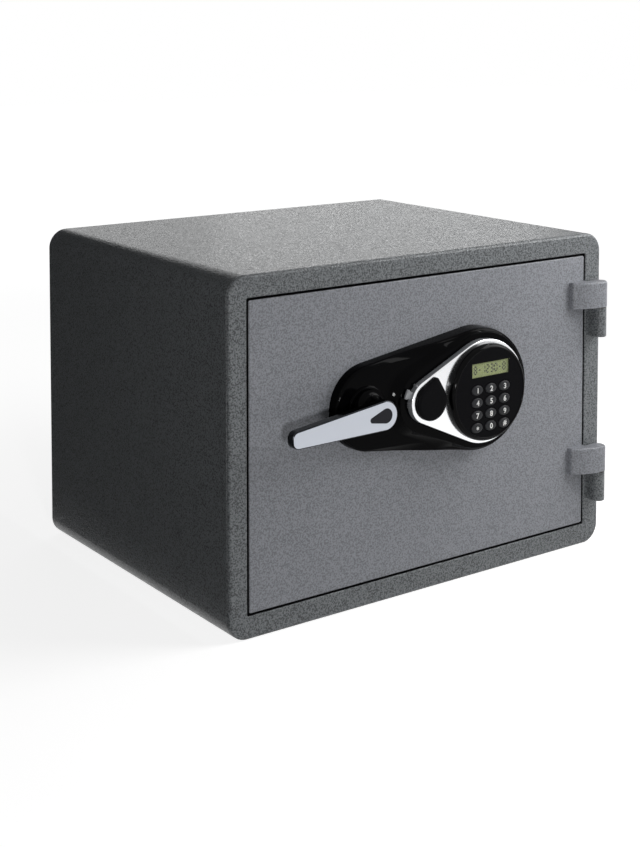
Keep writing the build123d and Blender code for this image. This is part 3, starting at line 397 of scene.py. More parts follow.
def drop_ring(big_radius, small_x, small_radius, big_steps=110, side_steps=26, small_steps=56):
    """Points round a drop on the lock's level line, with as many on each side and arc for any drop."""
    reach = KEYPAD_X - small_x
    turn = math.acos((small_radius - big_radius) / reach)
    big = [(KEYPAD_X + big_radius * math.cos(a), LOCK_Z + big_radius * math.sin(a))
           for a in (-turn + 2 * turn * step / big_steps for step in range(big_steps + 1))]
    small = [(small_x + small_radius * math.cos(a), LOCK_Z + small_radius * math.sin(a))
             for a in (turn + (TAU - 2 * turn) * step / small_steps for step in range(small_steps + 1))]

    def side(start, end):
        return [(start[0] + (end[0] - start[0]) * share, start[1] + (end[1] - start[1]) * share)
                for share in shares(side_steps)[:-1]]

    return big + side(big[-1], small[0]) + small + side(small[-1], big[0])


def trim_ring(grow=0.0):
    """Points round the trim's drop, moved outwards by grow."""
    return drop_ring(TRIM_BIG + grow, KEY_X, TRIM_SMALL + grow)


def lifted(ring, out):
    """A ring of (x, z) points at one height in front of the door."""
    return [point(x, z, out) for x, z in ring]


def add_rings(mesh, rings, cap_first=False, cap_last=False, wrap=False):
    """Joins rings of equally many points by quads, with a cap at either end or end to end."""
    loops = [[mesh.verts.new(place) for place in ring] for ring in rings]
    pairs = list(zip(loops, loops[1:])) + ([(loops[-1], loops[0])] if wrap else [])
    for one, other in pairs:
        for i in range(len(one)):
            j = (i + 1) % len(one)
            mesh.faces.new((one[i], one[j], other[j], other[i]))
    if cap_first:
        mesh.faces.new(loops[0])
    if cap_last:
        mesh.faces.new(loops[-1])


def linked(name, data):
    """An object in the scene that holds some data."""
    made = bpy.data.objects.new(name, data)
    bpy.context.scene.collection.objects.link(made)
    return made


def piece_from(name, mesh):
    """A linked object from an edited mesh: faces outwards, smooth but for its sharp edges."""
    bmesh.ops.recalc_face_normals(mesh, faces=mesh.faces)
    data = bpy.data.meshes.new(name)
    mesh.to_mesh(data)
    mesh.free()
    return smoothed(linked(name, data))


def smoothed(piece):
    """Smooth shading between sharp edges, with the large faces kept flat."""
    piece.data.shade_smooth()
    piece.data.set_sharp_from_angle(angle=SHARP)
    weighted = piece.modifiers.new("flat_faces", "WEIGHTED_NORMAL")
    weighted.keep_sharp = True
    weighted.weight = 60
    return piece


def ring_piece(name, rings, **how):
    """A piece made of one run of rings."""
    mesh = bmesh.new()
    add_rings(mesh, rings, **how)
    return piece_from(name, mesh)


def swept(name, outline, profile, steps=96, **how):
    """A piece whose profile (grow, out) runs round the outline of some circles."""
    return ring_piece(name, [lifted(hull_ring(outline, grow, steps), out) for grow, out in profile], **how)


def solid(name, outline, profile, steps=96):
    """A swept piece that is closed at both ends."""
    return swept(name, outline, profile, steps, cap_first=True, cap_last=True)


def settle(piece):
    """Turns a piece's modifiers into its plain mesh."""
    graph = bpy.context.evaluated_depsgraph_get()
    data = bpy.data.meshes.new_from_object(piece.evaluated_get(graph), depsgraph=graph)
    piece.modifiers.clear()
    piece.data = data


def subtract(piece, cutter):
    """Cuts one piece out of another, and removes the cutter."""
    cut = piece.modifiers.new("cut", "BOOLEAN")
    cut.operation, cut.solver, cut.object = "DIFFERENCE", "EXACT", cutter
    settle(piece)
    bpy.data.objects.remove(cutter)


def cut_out(piece, outline, start, end):
    """Cuts the outline of some circles out of a piece, between two heights."""
    subtract(piece, solid("cutter", outline, [(0, start), (0, end)]))
    smoothed(piece)


def dress(piece, finish, body, slot, *nodes):
    """Gives a finished piece its material and the body it moves with, and hides the nodes it stands for. Its
    slot is not used.
    """
    piece.data.materials.clear()
    piece.data.materials.append(FINISHES[finish])
    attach(piece, body)
    if nodes:
        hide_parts(*nodes)
    return piece


def paint_gap_shade(piece):
    """Painted shade: near-black on the folded walls between the frame and the door, behind the front, standing
    in for the shade in the gap.
    """
    rounding, slack = 1.0, 0.3
    piece.data.materials.append(FINISHES["primer"])
    for face in piece.data.polygons:
        middle = face.center / MM
        offset = middle - OPENING_MIDDLE
        beside = abs(offset.x) < OPENING_HALF.x + slack and abs(offset.z) < OPENING_HALF.z + slack
        if beside and middle.y - FRONT > rounding:
            face.material_index = 1


def coat_walls(piece, finish, front, turn):
    """A second finish on all that lies behind a front or is turned away from it by more than an angle."""
    piece.data.materials.append(FINISHES[finish])
    for face in piece.data.polygons:
        behind = FRONT - face.center.y / MM < front
        if behind or face.normal.y > -math.cos(math.radians(turn)):
            face.material_index = 1


# Geometry nodes

def layout_tree(name, inputs):
    """A geometry nodes tree with named inputs of some kinds, and the sockets that give them."""
    tree = bpy.data.node_groups.new(name, "GeometryNodeTree")
    for label, kind in inputs.items():
        tree.interface.new_socket(label, in_out="INPUT", socket_type=f"NodeSocket{kind}")
    tree.interface.new_socket("Geometry", in_out="OUTPUT", socket_type="NodeSocketGeometry")
    return tree, node(tree, "NodeGroupInput").outputs


def end_tree(tree, points, shape, rotation, finish):
    """Puts a shape on every point, makes the copies real, gives them their finish and ends the tree."""
    each = node(tree, "GeometryNodeInstanceOnPoints",
                {"Points": points, "Instance": shape, "Rotation": rotation})
    whole = node(tree, "GeometryNodeRealizeInstances", {"Geometry": each.outputs[0]})
    finished = node(tree, "GeometryNodeSetMaterial", {"Geometry": whole.outputs[0], "Material": finish})
    node(tree, "NodeGroupOutput", {"Geometry": finished.outputs[0]})


def laid_out(name, data, tree, values):
    """A piece with the plain mesh that a tree makes. Its inputs are set by their sockets' identifiers."""
    piece = linked(name, data)
    modifier = piece.modifiers.new(tree.name, "NODES")
    modifier.node_group = tree
    sockets = {item.name: item.identifier for item in tree.interface.items_tree
               if item.item_type == "SOCKET" and item.in_out == "INPUT"}
    for label, value in values.items():
        modifier[sockets[label]] = value
    settle(piece)
    return piece


# Pieces

class SAFE_OT_finishes(bpy.types.Operator):
    """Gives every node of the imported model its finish"""
    bl_idname = "safe.finishes"
    bl_label = "Finishes"

    def execute(self, context):
        FINISHES.update(build_finishes(context))
        for name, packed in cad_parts.items():
            slot = packed.data.materials[0].name.split(".")[0]
            packed.data.materials[0] = FINISHES[OWN_FINISHES.get(name, slot)]
        return {"FINISHED"}


class SAFE_OT_body(bpy.types.Operator):
    """Outer shell, front frame and back panel with their folds and the seam between them"""
    bl_idname = "safe.body"
    bl_label = "Body"

    def execute(self, context):
        size = in_mm(context)
        low, high = box_mm("outer_shell")
        body = box_corners(low, high, size.edge_radius)
        self.shell(size, body)
        self.door_frame(size, body)
        self.rear_pan(body, low, high)
        return {"FINISHED"}

    def shell(self, size, body):
        """The wrap: a tube of sheet with a rounded rear rim, and a seam where it meets the frame."""
        rear = FRONT - BACK
        profile = [(-size.seam, -PLATE), (0, -PLATE - size.seam), (0, rear + 0.6), (-0.2, rear + 0.15),
                   (-SHEET / 2, rear), (-1.3, rear + 0.15), (-SHEET, rear + 0.6), (-SHEET, -PLATE)]
        dress(swept("body_shell", body, profile, wrap=True), "body_paint", "cabinet", "body_paint",
              "outer_shell")

    def door_frame(self, size, body):
        """The plate round the door with the jamb folded in."""
        jamb, lip, fold = 20.0, 0.4, size.opening_round
        opening = box_corners(OPENING_MIDDLE - OPENING_HALF, OPENING_MIDDLE + OPENING_HALF, DOOR_CORNER)
        inside = [(SHEET, -jamb), (SHEET, -PLATE)]
        outside = [(-size.seam, -PLATE), (0, -PLATE + 0.5)] + quarter(0, 0, size.front_round, 8)
        folded = arc(fold, -fold, fold, 90, 180, 6) + [(0, lip - jamb), (lip, -jamb)]
        rings = [lifted(hull_ring(outline, grow), out)
                 for outline, profile in ((opening, inside), (body, outside), (opening, folded))
                 for grow, out in profile]
        plate = dress(ring_piece("door_frame", rings, wrap=True), "body_paint", "cabinet", "body_paint",
                      "front_frame")
        # Painted shade on the folded walls in the gap round the door
        paint_gap_shade(plate)

    def rear_pan(self, body, low, high):
        """The back: a pan let into the wrap, with folded edges and a shallow sunk field."""
        edge, floor, wall, fold = -SHEET - 0.15, FRONT - BACK + 2.0, 12.0, 2.2
        profile = [(edge, floor + wall)] + arc(edge - fold, floor + fold, fold, 0, -90, 6)
        rings = [lifted(hull_ring(body, grow), out) for grow, out in profile]
        # The field has corners of its own
        field_corner = 6.0
        rings += [lifted(hull_ring(box_corners(low, high, field_corner, inset)), floor + depth)
                  for inset, depth in ((24, 0), (26, 0.9), (28, 1.1))]
        back = ring_piece("rear_pan", rings, cap_first=True, cap_last=True)
        dress(back, "body_paint", "cabinet", "body_paint", "back_panel")


class SAFE_OT_back_screws(bpy.types.Operator):
    """Pan-head screws round the back panel, set out along its edge by geometry nodes"""
    bl_idname = "safe.back_screws"
    bl_label = "Back screws"

    head_rise = 2.0

    def execute(self, context):
        screw = self.screw(in_mm(context).screw_head)
        tree, given = layout_tree("screws_round_a_panel", {
            "Screw": "Object", "Width": "Float", "Height": "Float", "Screws": "Int", "Finish": "Material"})
        edge = node(tree, "GeometryNodeCurvePrimitiveQuadrilateral",
                    {"Width": given["Width"], "Height": given["Height"]})
        places = node(tree, "GeometryNodeCurveToPoints",
                      {"Curve": edge.outputs[0], "Count": given["Screws"]}, mode="COUNT")
        head = node(tree, "GeometryNodeObjectInfo", {"Object": given["Screw"]})
        spin = node(tree, "FunctionNodeRandomValue", {"Min": (0, 0, 0), "Max": (0, 0, TAU), "Seed": 4},
                    data_type="FLOAT_VECTOR")
        end_tree(tree, places.outputs["Points"], head.outputs["Geometry"], spin.outputs[0], given["Finish"])

        screws = laid_out("back_screws", bpy.data.meshes.new("back_screws"), tree, {
            "Screw": screw, "Width": 368 * MM, "Height": 249 * MM, "Screws": 10,
            "Finish": FINISHES["zinc_steel"]})
        bpy.data.objects.remove(screw)
        # The screws are laid out face up, so they are stood up against the back
        middle = middle_mm("outer_shell")
        against = Matrix.Translation(Vector((middle.x, BACK - self.head_rise, middle.z)) * MM)
        screws.data.transform(against @ Matrix.Rotation(-math.pi / 2, 4, "X"))
        screws.data.shade_smooth()
        screws.data.set_sharp_from_angle(angle=SHARP)
        dress(screws, "zinc_steel", "cabinet", "zinc_steel")
        return {"FINISHED"}

    def screw(self, radius):
        """One head, face up, with a cross slot."""
        slot_length, slot_width, slot_height, slot_middle = 4.6, 0.8, 2.4, 2.2
        rise = [(0, 0), (0, 0.5), (-0.5, 1.2), (-1.3, 1.7), (-2.4, self.head_rise)]
        rings = [[Vector((x, y, up)) * MM for x, y in hull_ring([(0, 0, radius)], grow, 24)]
                 for grow, up in rise]
        screw = ring_piece("screw_head", rings, cap_first=True, cap_last=True)
        for turn in (0, math.pi / 2):
            slot = bmesh.new()
            shape = Matrix.Diagonal((slot_length * MM, slot_width * MM, slot_height * MM, 1))
            bmesh.ops.create_cube(slot, size=1, matrix=Matrix.Rotation(turn, 4, "Z") @ shape)
            bmesh.ops.translate(slot, verts=slot.verts, vec=(0, 0, slot_middle * MM))
            subtract(screw, piece_from("slot_cutter", slot))
        return screw


class SAFE_OT_door(bpy.types.Operator):
    """Door skin with rounded folded edges"""
    bl_idname = "safe.door"
    bl_label = "Door"

    def execute(self, context):
        depth = 18
        profile = [(-SHEET, -SHEET), (-SHEET, -depth), (0, -depth)]
        profile += quarter(0, 0, in_mm(context).door_round)
        skin = solid("door_sheet", box_corners(*box_mm("door_skin"), DOOR_CORNER), profile)
        dress(skin, "door_paint", "door", "door_paint", "door_skin")
        # Painted shade on the folded walls in the gap round the door
        paint_gap_shade(skin)
        return {"FINISHED"}


class SAFE_OT_lock_panel(bpy.types.Operator):
    """Black lock panel: rising shoulder, creased flanks, raised part round the trim and a seat for the lever"""
    bl_idname = "safe.lock_panel"
    bl_label = "Lock panel"

    def execute(self, context):
        size = in_mm(context)
        columns = []
        for (x, z), (rim_x, rim_z) in zip(drop_ring(PANEL_BIG, PANEL_X, PANEL_SMALL),
                                          drop_ring(RIM_BIG, KEY_X, RIM_SMALL)):
            gap = math.hypot(rim_x - x, rim_z - z)
            across, up = (rim_x - x) / gap, (rim_z - z) / gap
            columns.append([point(x + across * reach, z + up * reach, out)
                            for reach, out in self.slope(size, x, across, gap)])
        rings = [list(ring) for ring in zip(*columns)]
        # The raised part is recessed under the trim, with a fine gap round it
        gap, round_off = size.trim_gap, 0.4
        rings += [lifted(trim_ring(grow), out)
                  for grow, out in ((gap + round_off, PLATEAU), (gap, PLATEAU - round_off), (gap, TRIM_BACK),
                                    (-3, TRIM_BACK))]
        mesh = bmesh.new()
        add_rings(mesh, rings, cap_first=True, cap_last=True)
        seat_radius, seat_top = 19, 12.2
        seat = [(0.6, 6), (0.6, 10.9), (0.1, 11.1), (0, 11.4)] + quarter(0, seat_top, 0.6)
        add_rings(mesh, [lifted(hull_ring([(HANDLE_X, LOCK_Z, seat_radius)], grow), out)
                         for grow, out in seat], cap_first=True, cap_last=True)
        dress(piece_from("panel_moulding", mesh), "black_gloss", "door", "black_gloss", "lock_panel")
        return {"FINISHED"}

    def level(self, x):
        """Height of the panel's low part, which rises towards the keypad."""
        left, right = PANEL_X - PANEL_SMALL, KEYPAD_X + PANEL_BIG
        return PANEL_LEFT_OUT + (PANEL_RIGHT_OUT - PANEL_LEFT_OUT) * (x - left) / (right - left)

    def slope(self, size, x, across, gap):
        """Profile (reach, out) at a point of the foot: shoulder, crease, low part and flank up to the rim."""
        draft, lip, curve = 0.8, 0.8, 1.25
        # The crease bows away from the shoulder between two places across, and the panel falls towards it
        bow_left, bow_right, bow, fall = -95, 12, 13, 0.2
        fold = min(size.panel_round, 0.42 * gap)
        shoulder = draft + fold
        foot = max(shoulder + 0.3, gap - size.flank)
        along = min(1, max(0, (x - bow_left) / (bow_right - bow_left)))
        crease = min(shoulder + bow * math.sin(math.pi * along) ** 2, foot)
        drop = fall * (crease - shoulder)

        def low(reach):
            return self.level(x + across * reach)

        top = low(shoulder) - drop
        profile = [(0, 0), (0.3, 0.5 * top)] + arc(shoulder, top - fold, fold, 180, 90, 8)
        for share in shares(6):
            reach = shoulder + (crease - shoulder) * share
            profile.append((reach, low(reach) - drop * (1 - share)))
        for share in shares(8):
            reach = crease + (foot - crease) * share
            profile.append((reach, low(reach)))
        for share in shares(8):
            profile.append((foot + (gap - foot) * share,
                            low(foot) + (PLATEAU - lip - low(foot)) * share ** curve))
        return profile + [(gap + 0.25, PLATEAU - 0.35), (gap + 0.6, PLATEAU - 0.1), (gap + 1.1, PLATEAU)]


class SAFE_OT_trim(bpy.types.Operator):
    """Bright drop-shaped trim with the small lug and ribs on its left"""
    bl_idname = "safe.trim"
    bl_label = "Trim"

    def execute(self, context):
        keypad_hole, key_hole, edge = 42.3, 9.05, 0.8
        inner = []
        for x, z in trim_ring():
            turn = math.atan2(z - LOCK_Z, x - KEYPAD_X)
            inner.append((KEYPAD_X + keypad_hole * math.cos(turn), LOCK_Z + keypad_hole * math.sin(turn)))
        rings = [lifted(inner, TRIM_BACK), lifted(trim_ring(), TRIM_BACK)]
        rings += [lifted(trim_ring(grow), out) for grow, out in quarter(0, TRIM_FRONT, edge)]
        rings += [lifted(trim_ring(-edge - 0.3), TRIM_FRONT), lifted(inner, TRIM_FRONT)]
        trim = ring_piece("bright_trim", rings, wrap=True)
        cut_out(trim, [(KEY_X, LOCK_Z, key_hole)], TRIM_BACK - 1, TRIM_FRONT + 1)

        mesh = bmesh.new()
        mesh.from_mesh(trim.data)
        bpy.data.objects.remove(trim)
        self.add_lug(mesh)
        trim = dress(piece_from("bright_trim", mesh), "chrome", "door", "chrome", "lock_trim")
        # The trim's walls and lug get the grey: a painted reflection of the darker surroundings
        coat_walls(trim, "painted_reflection_trim_grey", TRIM_FRONT - edge, 55)
        return {"FINISHED"}

    def add_lug(self, mesh):
        """The lug: a small barrel on a web, with one nub above it and three ribs below."""
        lug_x, lug_z, root = -42.6, 180.5, 17.5
        lean = math.atan2(lug_z - LOCK_Z, lug_x - KEY_X)
        self.add_bar(mesh, lean, 17.0, 22.6, 3.2, 21.0, 0.6)
        self.add_bar(mesh, lean - 0.5, root, 20.6, 0.8, 22.0)
        for offset in (0.34, 0.43, 0.52):
            self.add_bar(mesh, lean + offset, root, 20.2, 0.4, 20.8)

        # The barrel lies along the trim's edge, with a groove near each of its rounded ends
        outward = Vector((math.cos(lean), 0, math.sin(lean)))
        axis = Vector((-math.sin(lean), 0, math.cos(lean)))
        centre = self.on_edge(lean, 23.8, 20.2)
        half = [(2.6, 1.7), (2.9, 1.4), (3.2, 1.7), (3.7, 1.6), (4.1, 1.3), (4.2, 0.8)]
        barrel = [[centre + (axis * along + (outward * math.cos(a) - Vector((0, 1, 0)) * math.sin(a)) * radius)
                   * MM for a in (TAU * step / 32 for step in range(32))]
                  for along, radius in [(-along, radius) for along, radius in reversed(half)] + half]
        add_rings(mesh, barrel, cap_first=True, cap_last=True)

    def on_edge(self, turn, reach, out):
        """A point at a turn and a reach from the middle of the drop's small end."""
        return point(KEY_X + reach * math.cos(turn), LOCK_Z + reach * math.sin(turn), out)

    def add_bar(self, mesh, turn, start, end, half, top, round_off=0.4):
        """A small bar that stands out of the edge between two reaches, from within the trim to a top."""
        bottom = 17.5
        side = Vector((-math.sin(turn), 0, math.cos(turn))) * MM
        rings = []
        for shrink, out in ((0, bottom), (0, top - round_off), (round_off * 0.3, top - round_off * 0.3),
                            (round_off, top)):
            rings.append([self.on_edge(turn, reach, out) + side * way * (half - shrink)
                          for reach, way in ((start, -1), (end - shrink, -1), (end - shrink, 1), (start, 1))])
        add_rings(mesh, rings, cap_first=True, cap_last=True)


class SAFE_OT_lever(bpy.types.Operator):
    """Lever with a satin face, walls darkened as a painted reflection, and the pocket of its insert"""
    bl_idname = "safe.lever"
    bl_label = "Lever"

    def execute(self, context):
        low, high = box_mm("handle_arm")
        front, back = FRONT - low.y, FRONT - high.y
        hub, tip, half, reach, pocket_depth = 12.4, 6.0, 7.25, 92.3, 1.2

        def place(along, across, radius):
            """A circle given along and across the drooping lever."""
            droop = math.radians(4.0)
            return (HANDLE_X - along * math.cos(droop) - across * math.sin(droop),
                    LOCK_Z - along * math.sin(droop) + across * math.cos(droop), radius)

        outline = [place(0, 0, hub), place(reach - tip, half - tip, tip), place(reach - tip, tip - half, tip)]
        lever = solid("lever", outline, [(-0.4, back), (0, back + 0.4)] + quarter(0, front, 1.2, 8), 160)
        cut_out(lever, [place(-0.6, 0, 6.2), place(13.6, -0.6, 2.4)], front - pocket_depth, front + 1)
        dress(lever, "satin_silver", "handle", "chrome", "handle_arm")
        # The lever's walls get the darkened plate: a painted reflection of the shadowed door
        coat_walls(lever, "dark_wall_reflection", back + 2, 12)
        return {"FINISHED"}


class SAFE_OT_keypad(bpy.types.Operator):
    """Glossy keypad ring and the display with its segments"""
    bl_idname = "safe.keypad"
    bl_label = "Keypad and display"

    def execute(self, context):
        # Radius and height: the outer wall and crown, the inner wall, and the skirt that goes into the panel
        ring = [(42.4, 23.05), (42.5, 23.6), (42.4, 25.5), (42.1, 26.9), (41.6, 27.9), (41.0, 28.6),
                (40.3, 29.1), (39.7, 29.35), (39.3, 29.4), (39.0, 29.35), (38.8, 29.2), (38.75, 29.05),
                (40.0, 29.02), (40.0, 26.0), (39.6, 26.0), (39.6, 6.0), (41.5, 6.0), (41.5, 23.05)]
        dress(swept("keypad_ring", [(KEYPAD_X, LOCK_Z, 0)], ring, 128, wrap=True), "ring_black", "door",
              "black_gloss", "keypad_bezel")

        low, high = box_mm("lcd_window")
        face_out = FRONT - low.y - 1.2
        screen = box_corners(low, high, 0.3)
        module = solid("display_cell", screen, [(1.4, 20), (1.4, 26), (0, 26), (0, face_out)])
        dress(module, "display", "door", "display", "lcd_module")
        window = solid("display_window", screen,
                       [(-0.05, face_out + 0.35), (-0.05, face_out + 1.0), (-0.25, face_out + 1.2)])
        dress(window, "window", "door", "window", "lcd_window")
        segments = laid_out("display_segments", self.segment_points(face_out + 0.03), self.segment_tree(), {
            "Length": 1.3 * MM, "Width": 0.75 * MM, "Finish": FINISHES["segment"]})
        dress(segments, "segment", "door", "display")
        return {"FINISHED"}

    def segment_points(self, out):
        """The middle of every lit segment of the figures, marked where the segment stands upright."""
        # Segments lit in each figure: top, upper right, lower right, bottom, lower left, upper left, middle
        figures = {"0": "1111110", "1": "0110000", "2": "1101101", "3": "1111001", "8": "1111111",
                   "-": "0000001"}
        text = "8-1230-8"
        tall, wide, pitch = 6.4, 2.9, 4.7
        spots = ((0, tall, 0), (wide / 2, tall * 0.75, 1), (wide / 2, tall * 0.25, 1), (0, 0, 0),
                 (-wide / 2, tall * 0.25, 1), (-wide / 2, tall * 0.75, 1), (0, tall / 2, 0))
        middle = middle_mm("lcd_window")
        places, upright = [], []
        for index, figure in enumerate(text):
            x = middle.x + (index - (len(text) - 1) / 2) * pitch
            for lit, (across, up, turned) in zip(figures[figure], spots):
                if lit == "1":
                    places.append(point(x + across, middle.z - tall / 2 + up, out))
                    upright.append(float(turned))
        mesh = bpy.data.meshes.new("segment_points")
        mesh.from_pydata(places, [], [])
        mesh.attributes.new("upright", "FLOAT", "POINT").data.foreach_set("value", upright)
        return mesh

    def segment_tree(self):
        """Draws a six-sided bar on every point, level or upright."""
        tree, given = layout_tree("display_segments", {
            "Geometry": "Geometry", "Length": "Float", "Width": "Float", "Finish": "Material"})
        bar = node(tree, "GeometryNodeMeshCircle", {"Vertices": 6, "Radius": 1.0}, fill_type="NGON")
        size = node(tree, "ShaderNodeCombineXYZ", {"X": given["Length"], "Y": given["Width"], "Z": 1.0})
        flat = node(tree, "GeometryNodeTransform", {"Geometry": bar.outputs[0], "Scale": size.outputs[0]})
        turned = node(tree, "GeometryNodeInputNamedAttribute", {"Name": "upright"}, data_type="FLOAT")
        angle = node(tree, "ShaderNodeMath", {0: turned.outputs["Attribute"], 1: math.pi / 2},
                     operation="MULTIPLY")
        stand = node(tree, "ShaderNodeCombineXYZ", {"X": math.pi / 2, "Y": angle.outputs[0], "Z": 0.0})
        end_tree(tree, given["Geometry"], flat.outputs[0], stand.outputs[0], given["Finish"])
        return tree


class SAFE_OT_keys(bpy.types.Operator):
    """Twelve oval keys with a soft dome, and the figure on each"""
    bl_idname = "safe.keys"
    bl_label = "Keys"

    def execute(self, context):
        size = in_mm(context)
        legends = {f"key_{figure}": figure for figure in "1234567890"}
        legends.update(key_star="*", key_hash="#")
        for name, figure in legends.items():
            low, high = box_mm(name)
            top = FRONT - low.y
            self.cap(name, low, high, top, size.cap_dome)
            crown = point((low.x + high.x) / 2, (low.z + high.z) / 2, top + size.cap_dome)
            self.legend(context, name, figure, crown, size.legend_height)
        return {"FINISHED"}

    def cap(self, name, low, high, top, dome):
        """An oval cap: a collar under the keypad's face, a wall with a rounded edge, and a low dome."""
        collar, collar_back, collar_front, edge = 0.6, 24.6, 25.6, 0.9
        x, z = (low.x + high.x) / 2, (low.z + high.z) / 2
        half_width, half_height = (high.x - low.x) / 2 - collar, (high.z - low.z) / 2 - collar
        profile = [(collar, collar_back), (collar, collar_front), (0, collar_front)] + quarter(0, top, edge)
        profile += [(-1.6, top + dome * 0.5), (-2.6, top + dome * 0.85), (-3.4, top + dome)]
        rings = [[point(x + (half_width + grow) * math.cos(a), z + (half_height + grow) * math.sin(a), out)
                  for a in (TAU * step / 48 for step in range(48))] for grow, out in profile]
        cap = ring_piece(f"{name}_cap", rings, cap_first=True, cap_last=True)
        dress(cap, "key_plastic", name, "key_plastic", name)

    def legend(self, context, key, figure, crown, height):
        """One printed figure, as a thin mesh on the crown of the cap."""
        size_per_height, print_depth = 1.37, 0.12
        curve = bpy.data.curves.new(f"{key}_legend", "FONT")
        curve.body = figure
        curve.size = height * MM * size_per_height
        curve.offset = curve.extrude = print_depth * MM
        curve.align_x, curve.align_y = "CENTER", "CENTER"
        written = linked("written", curve)
        graph = context.evaluated_depsgraph_get()
        data = bpy.data.meshes.new_from_object(written.evaluated_get(graph), depsgraph=graph)
        bpy.data.objects.remove(written)
        places = [vertex.co for vertex in data.vertices]
        middle = Vector([(min(p[i] for p in places) + max(p[i] for p in places)) / 2 for i in range(3)])
        stand = Matrix.Translation(crown) @ Matrix.Rotation(math.pi / 2, 4, "X")
        data.transform(stand @ Matrix.Translation(-middle))
        dress(linked(f"{key}_figure", data), "ink", key, "key_plastic")


class SAFE_OT_key_cover(bpy.types.Operator):
    """Black drop cap over the emergency key, softly domed"""
    bl_idname = "safe.key_cover"
    bl_label = "Key cover"

    def execute(self, context):
        pivot = middle_mm("cover_pivot")
        low, high = box_mm("key_cover")
        radius, pivot_radius, back, front = 16.0, 3.2, 23.3, 26.4
        drop = [(low.x + radius, LOCK_Z, radius), (pivot.x, pivot.z, pivot_radius)]
        profile = [(-0.4, back), (0, back + 0.4)] + quarter(0, front - 0.35, 1.6, 8)
        profile += [(-2.1, front - 0.28), (-2.9, front - 0.12), (-3.1, front - 0.1)]
        dress(solid("drop_cap", drop, profile, 128), "cover_black", "key_cover", "black_gloss", "key_cover")
        return {"FINISHED"}


class SAFE_OT_seal(bpy.types.Operator):
    """Heat seal round the step of the door, with two fine ribs"""
    bl_idname = "safe.seal"
    bl_label = "Door seal"

    def execute(self, context):
        profile = [(0, -18.0), (-0.2, -19.0), (-1.2, -19.6), (-2.4, -19.1), (-3.4, -19.5), (-4.6, -19.5),
                   (-5.6, -19.1), (-6.8, -19.6), (-7.8, -19.0), (-8.0, -18.0)]
        seal = swept("seal_strip", box_corners(*box_mm("door_seal"), 3.0), profile, wrap=True)
        dress(seal, "seal_strip", "door", "seal_strip", "door_seal")
        return {"FINISHED"}


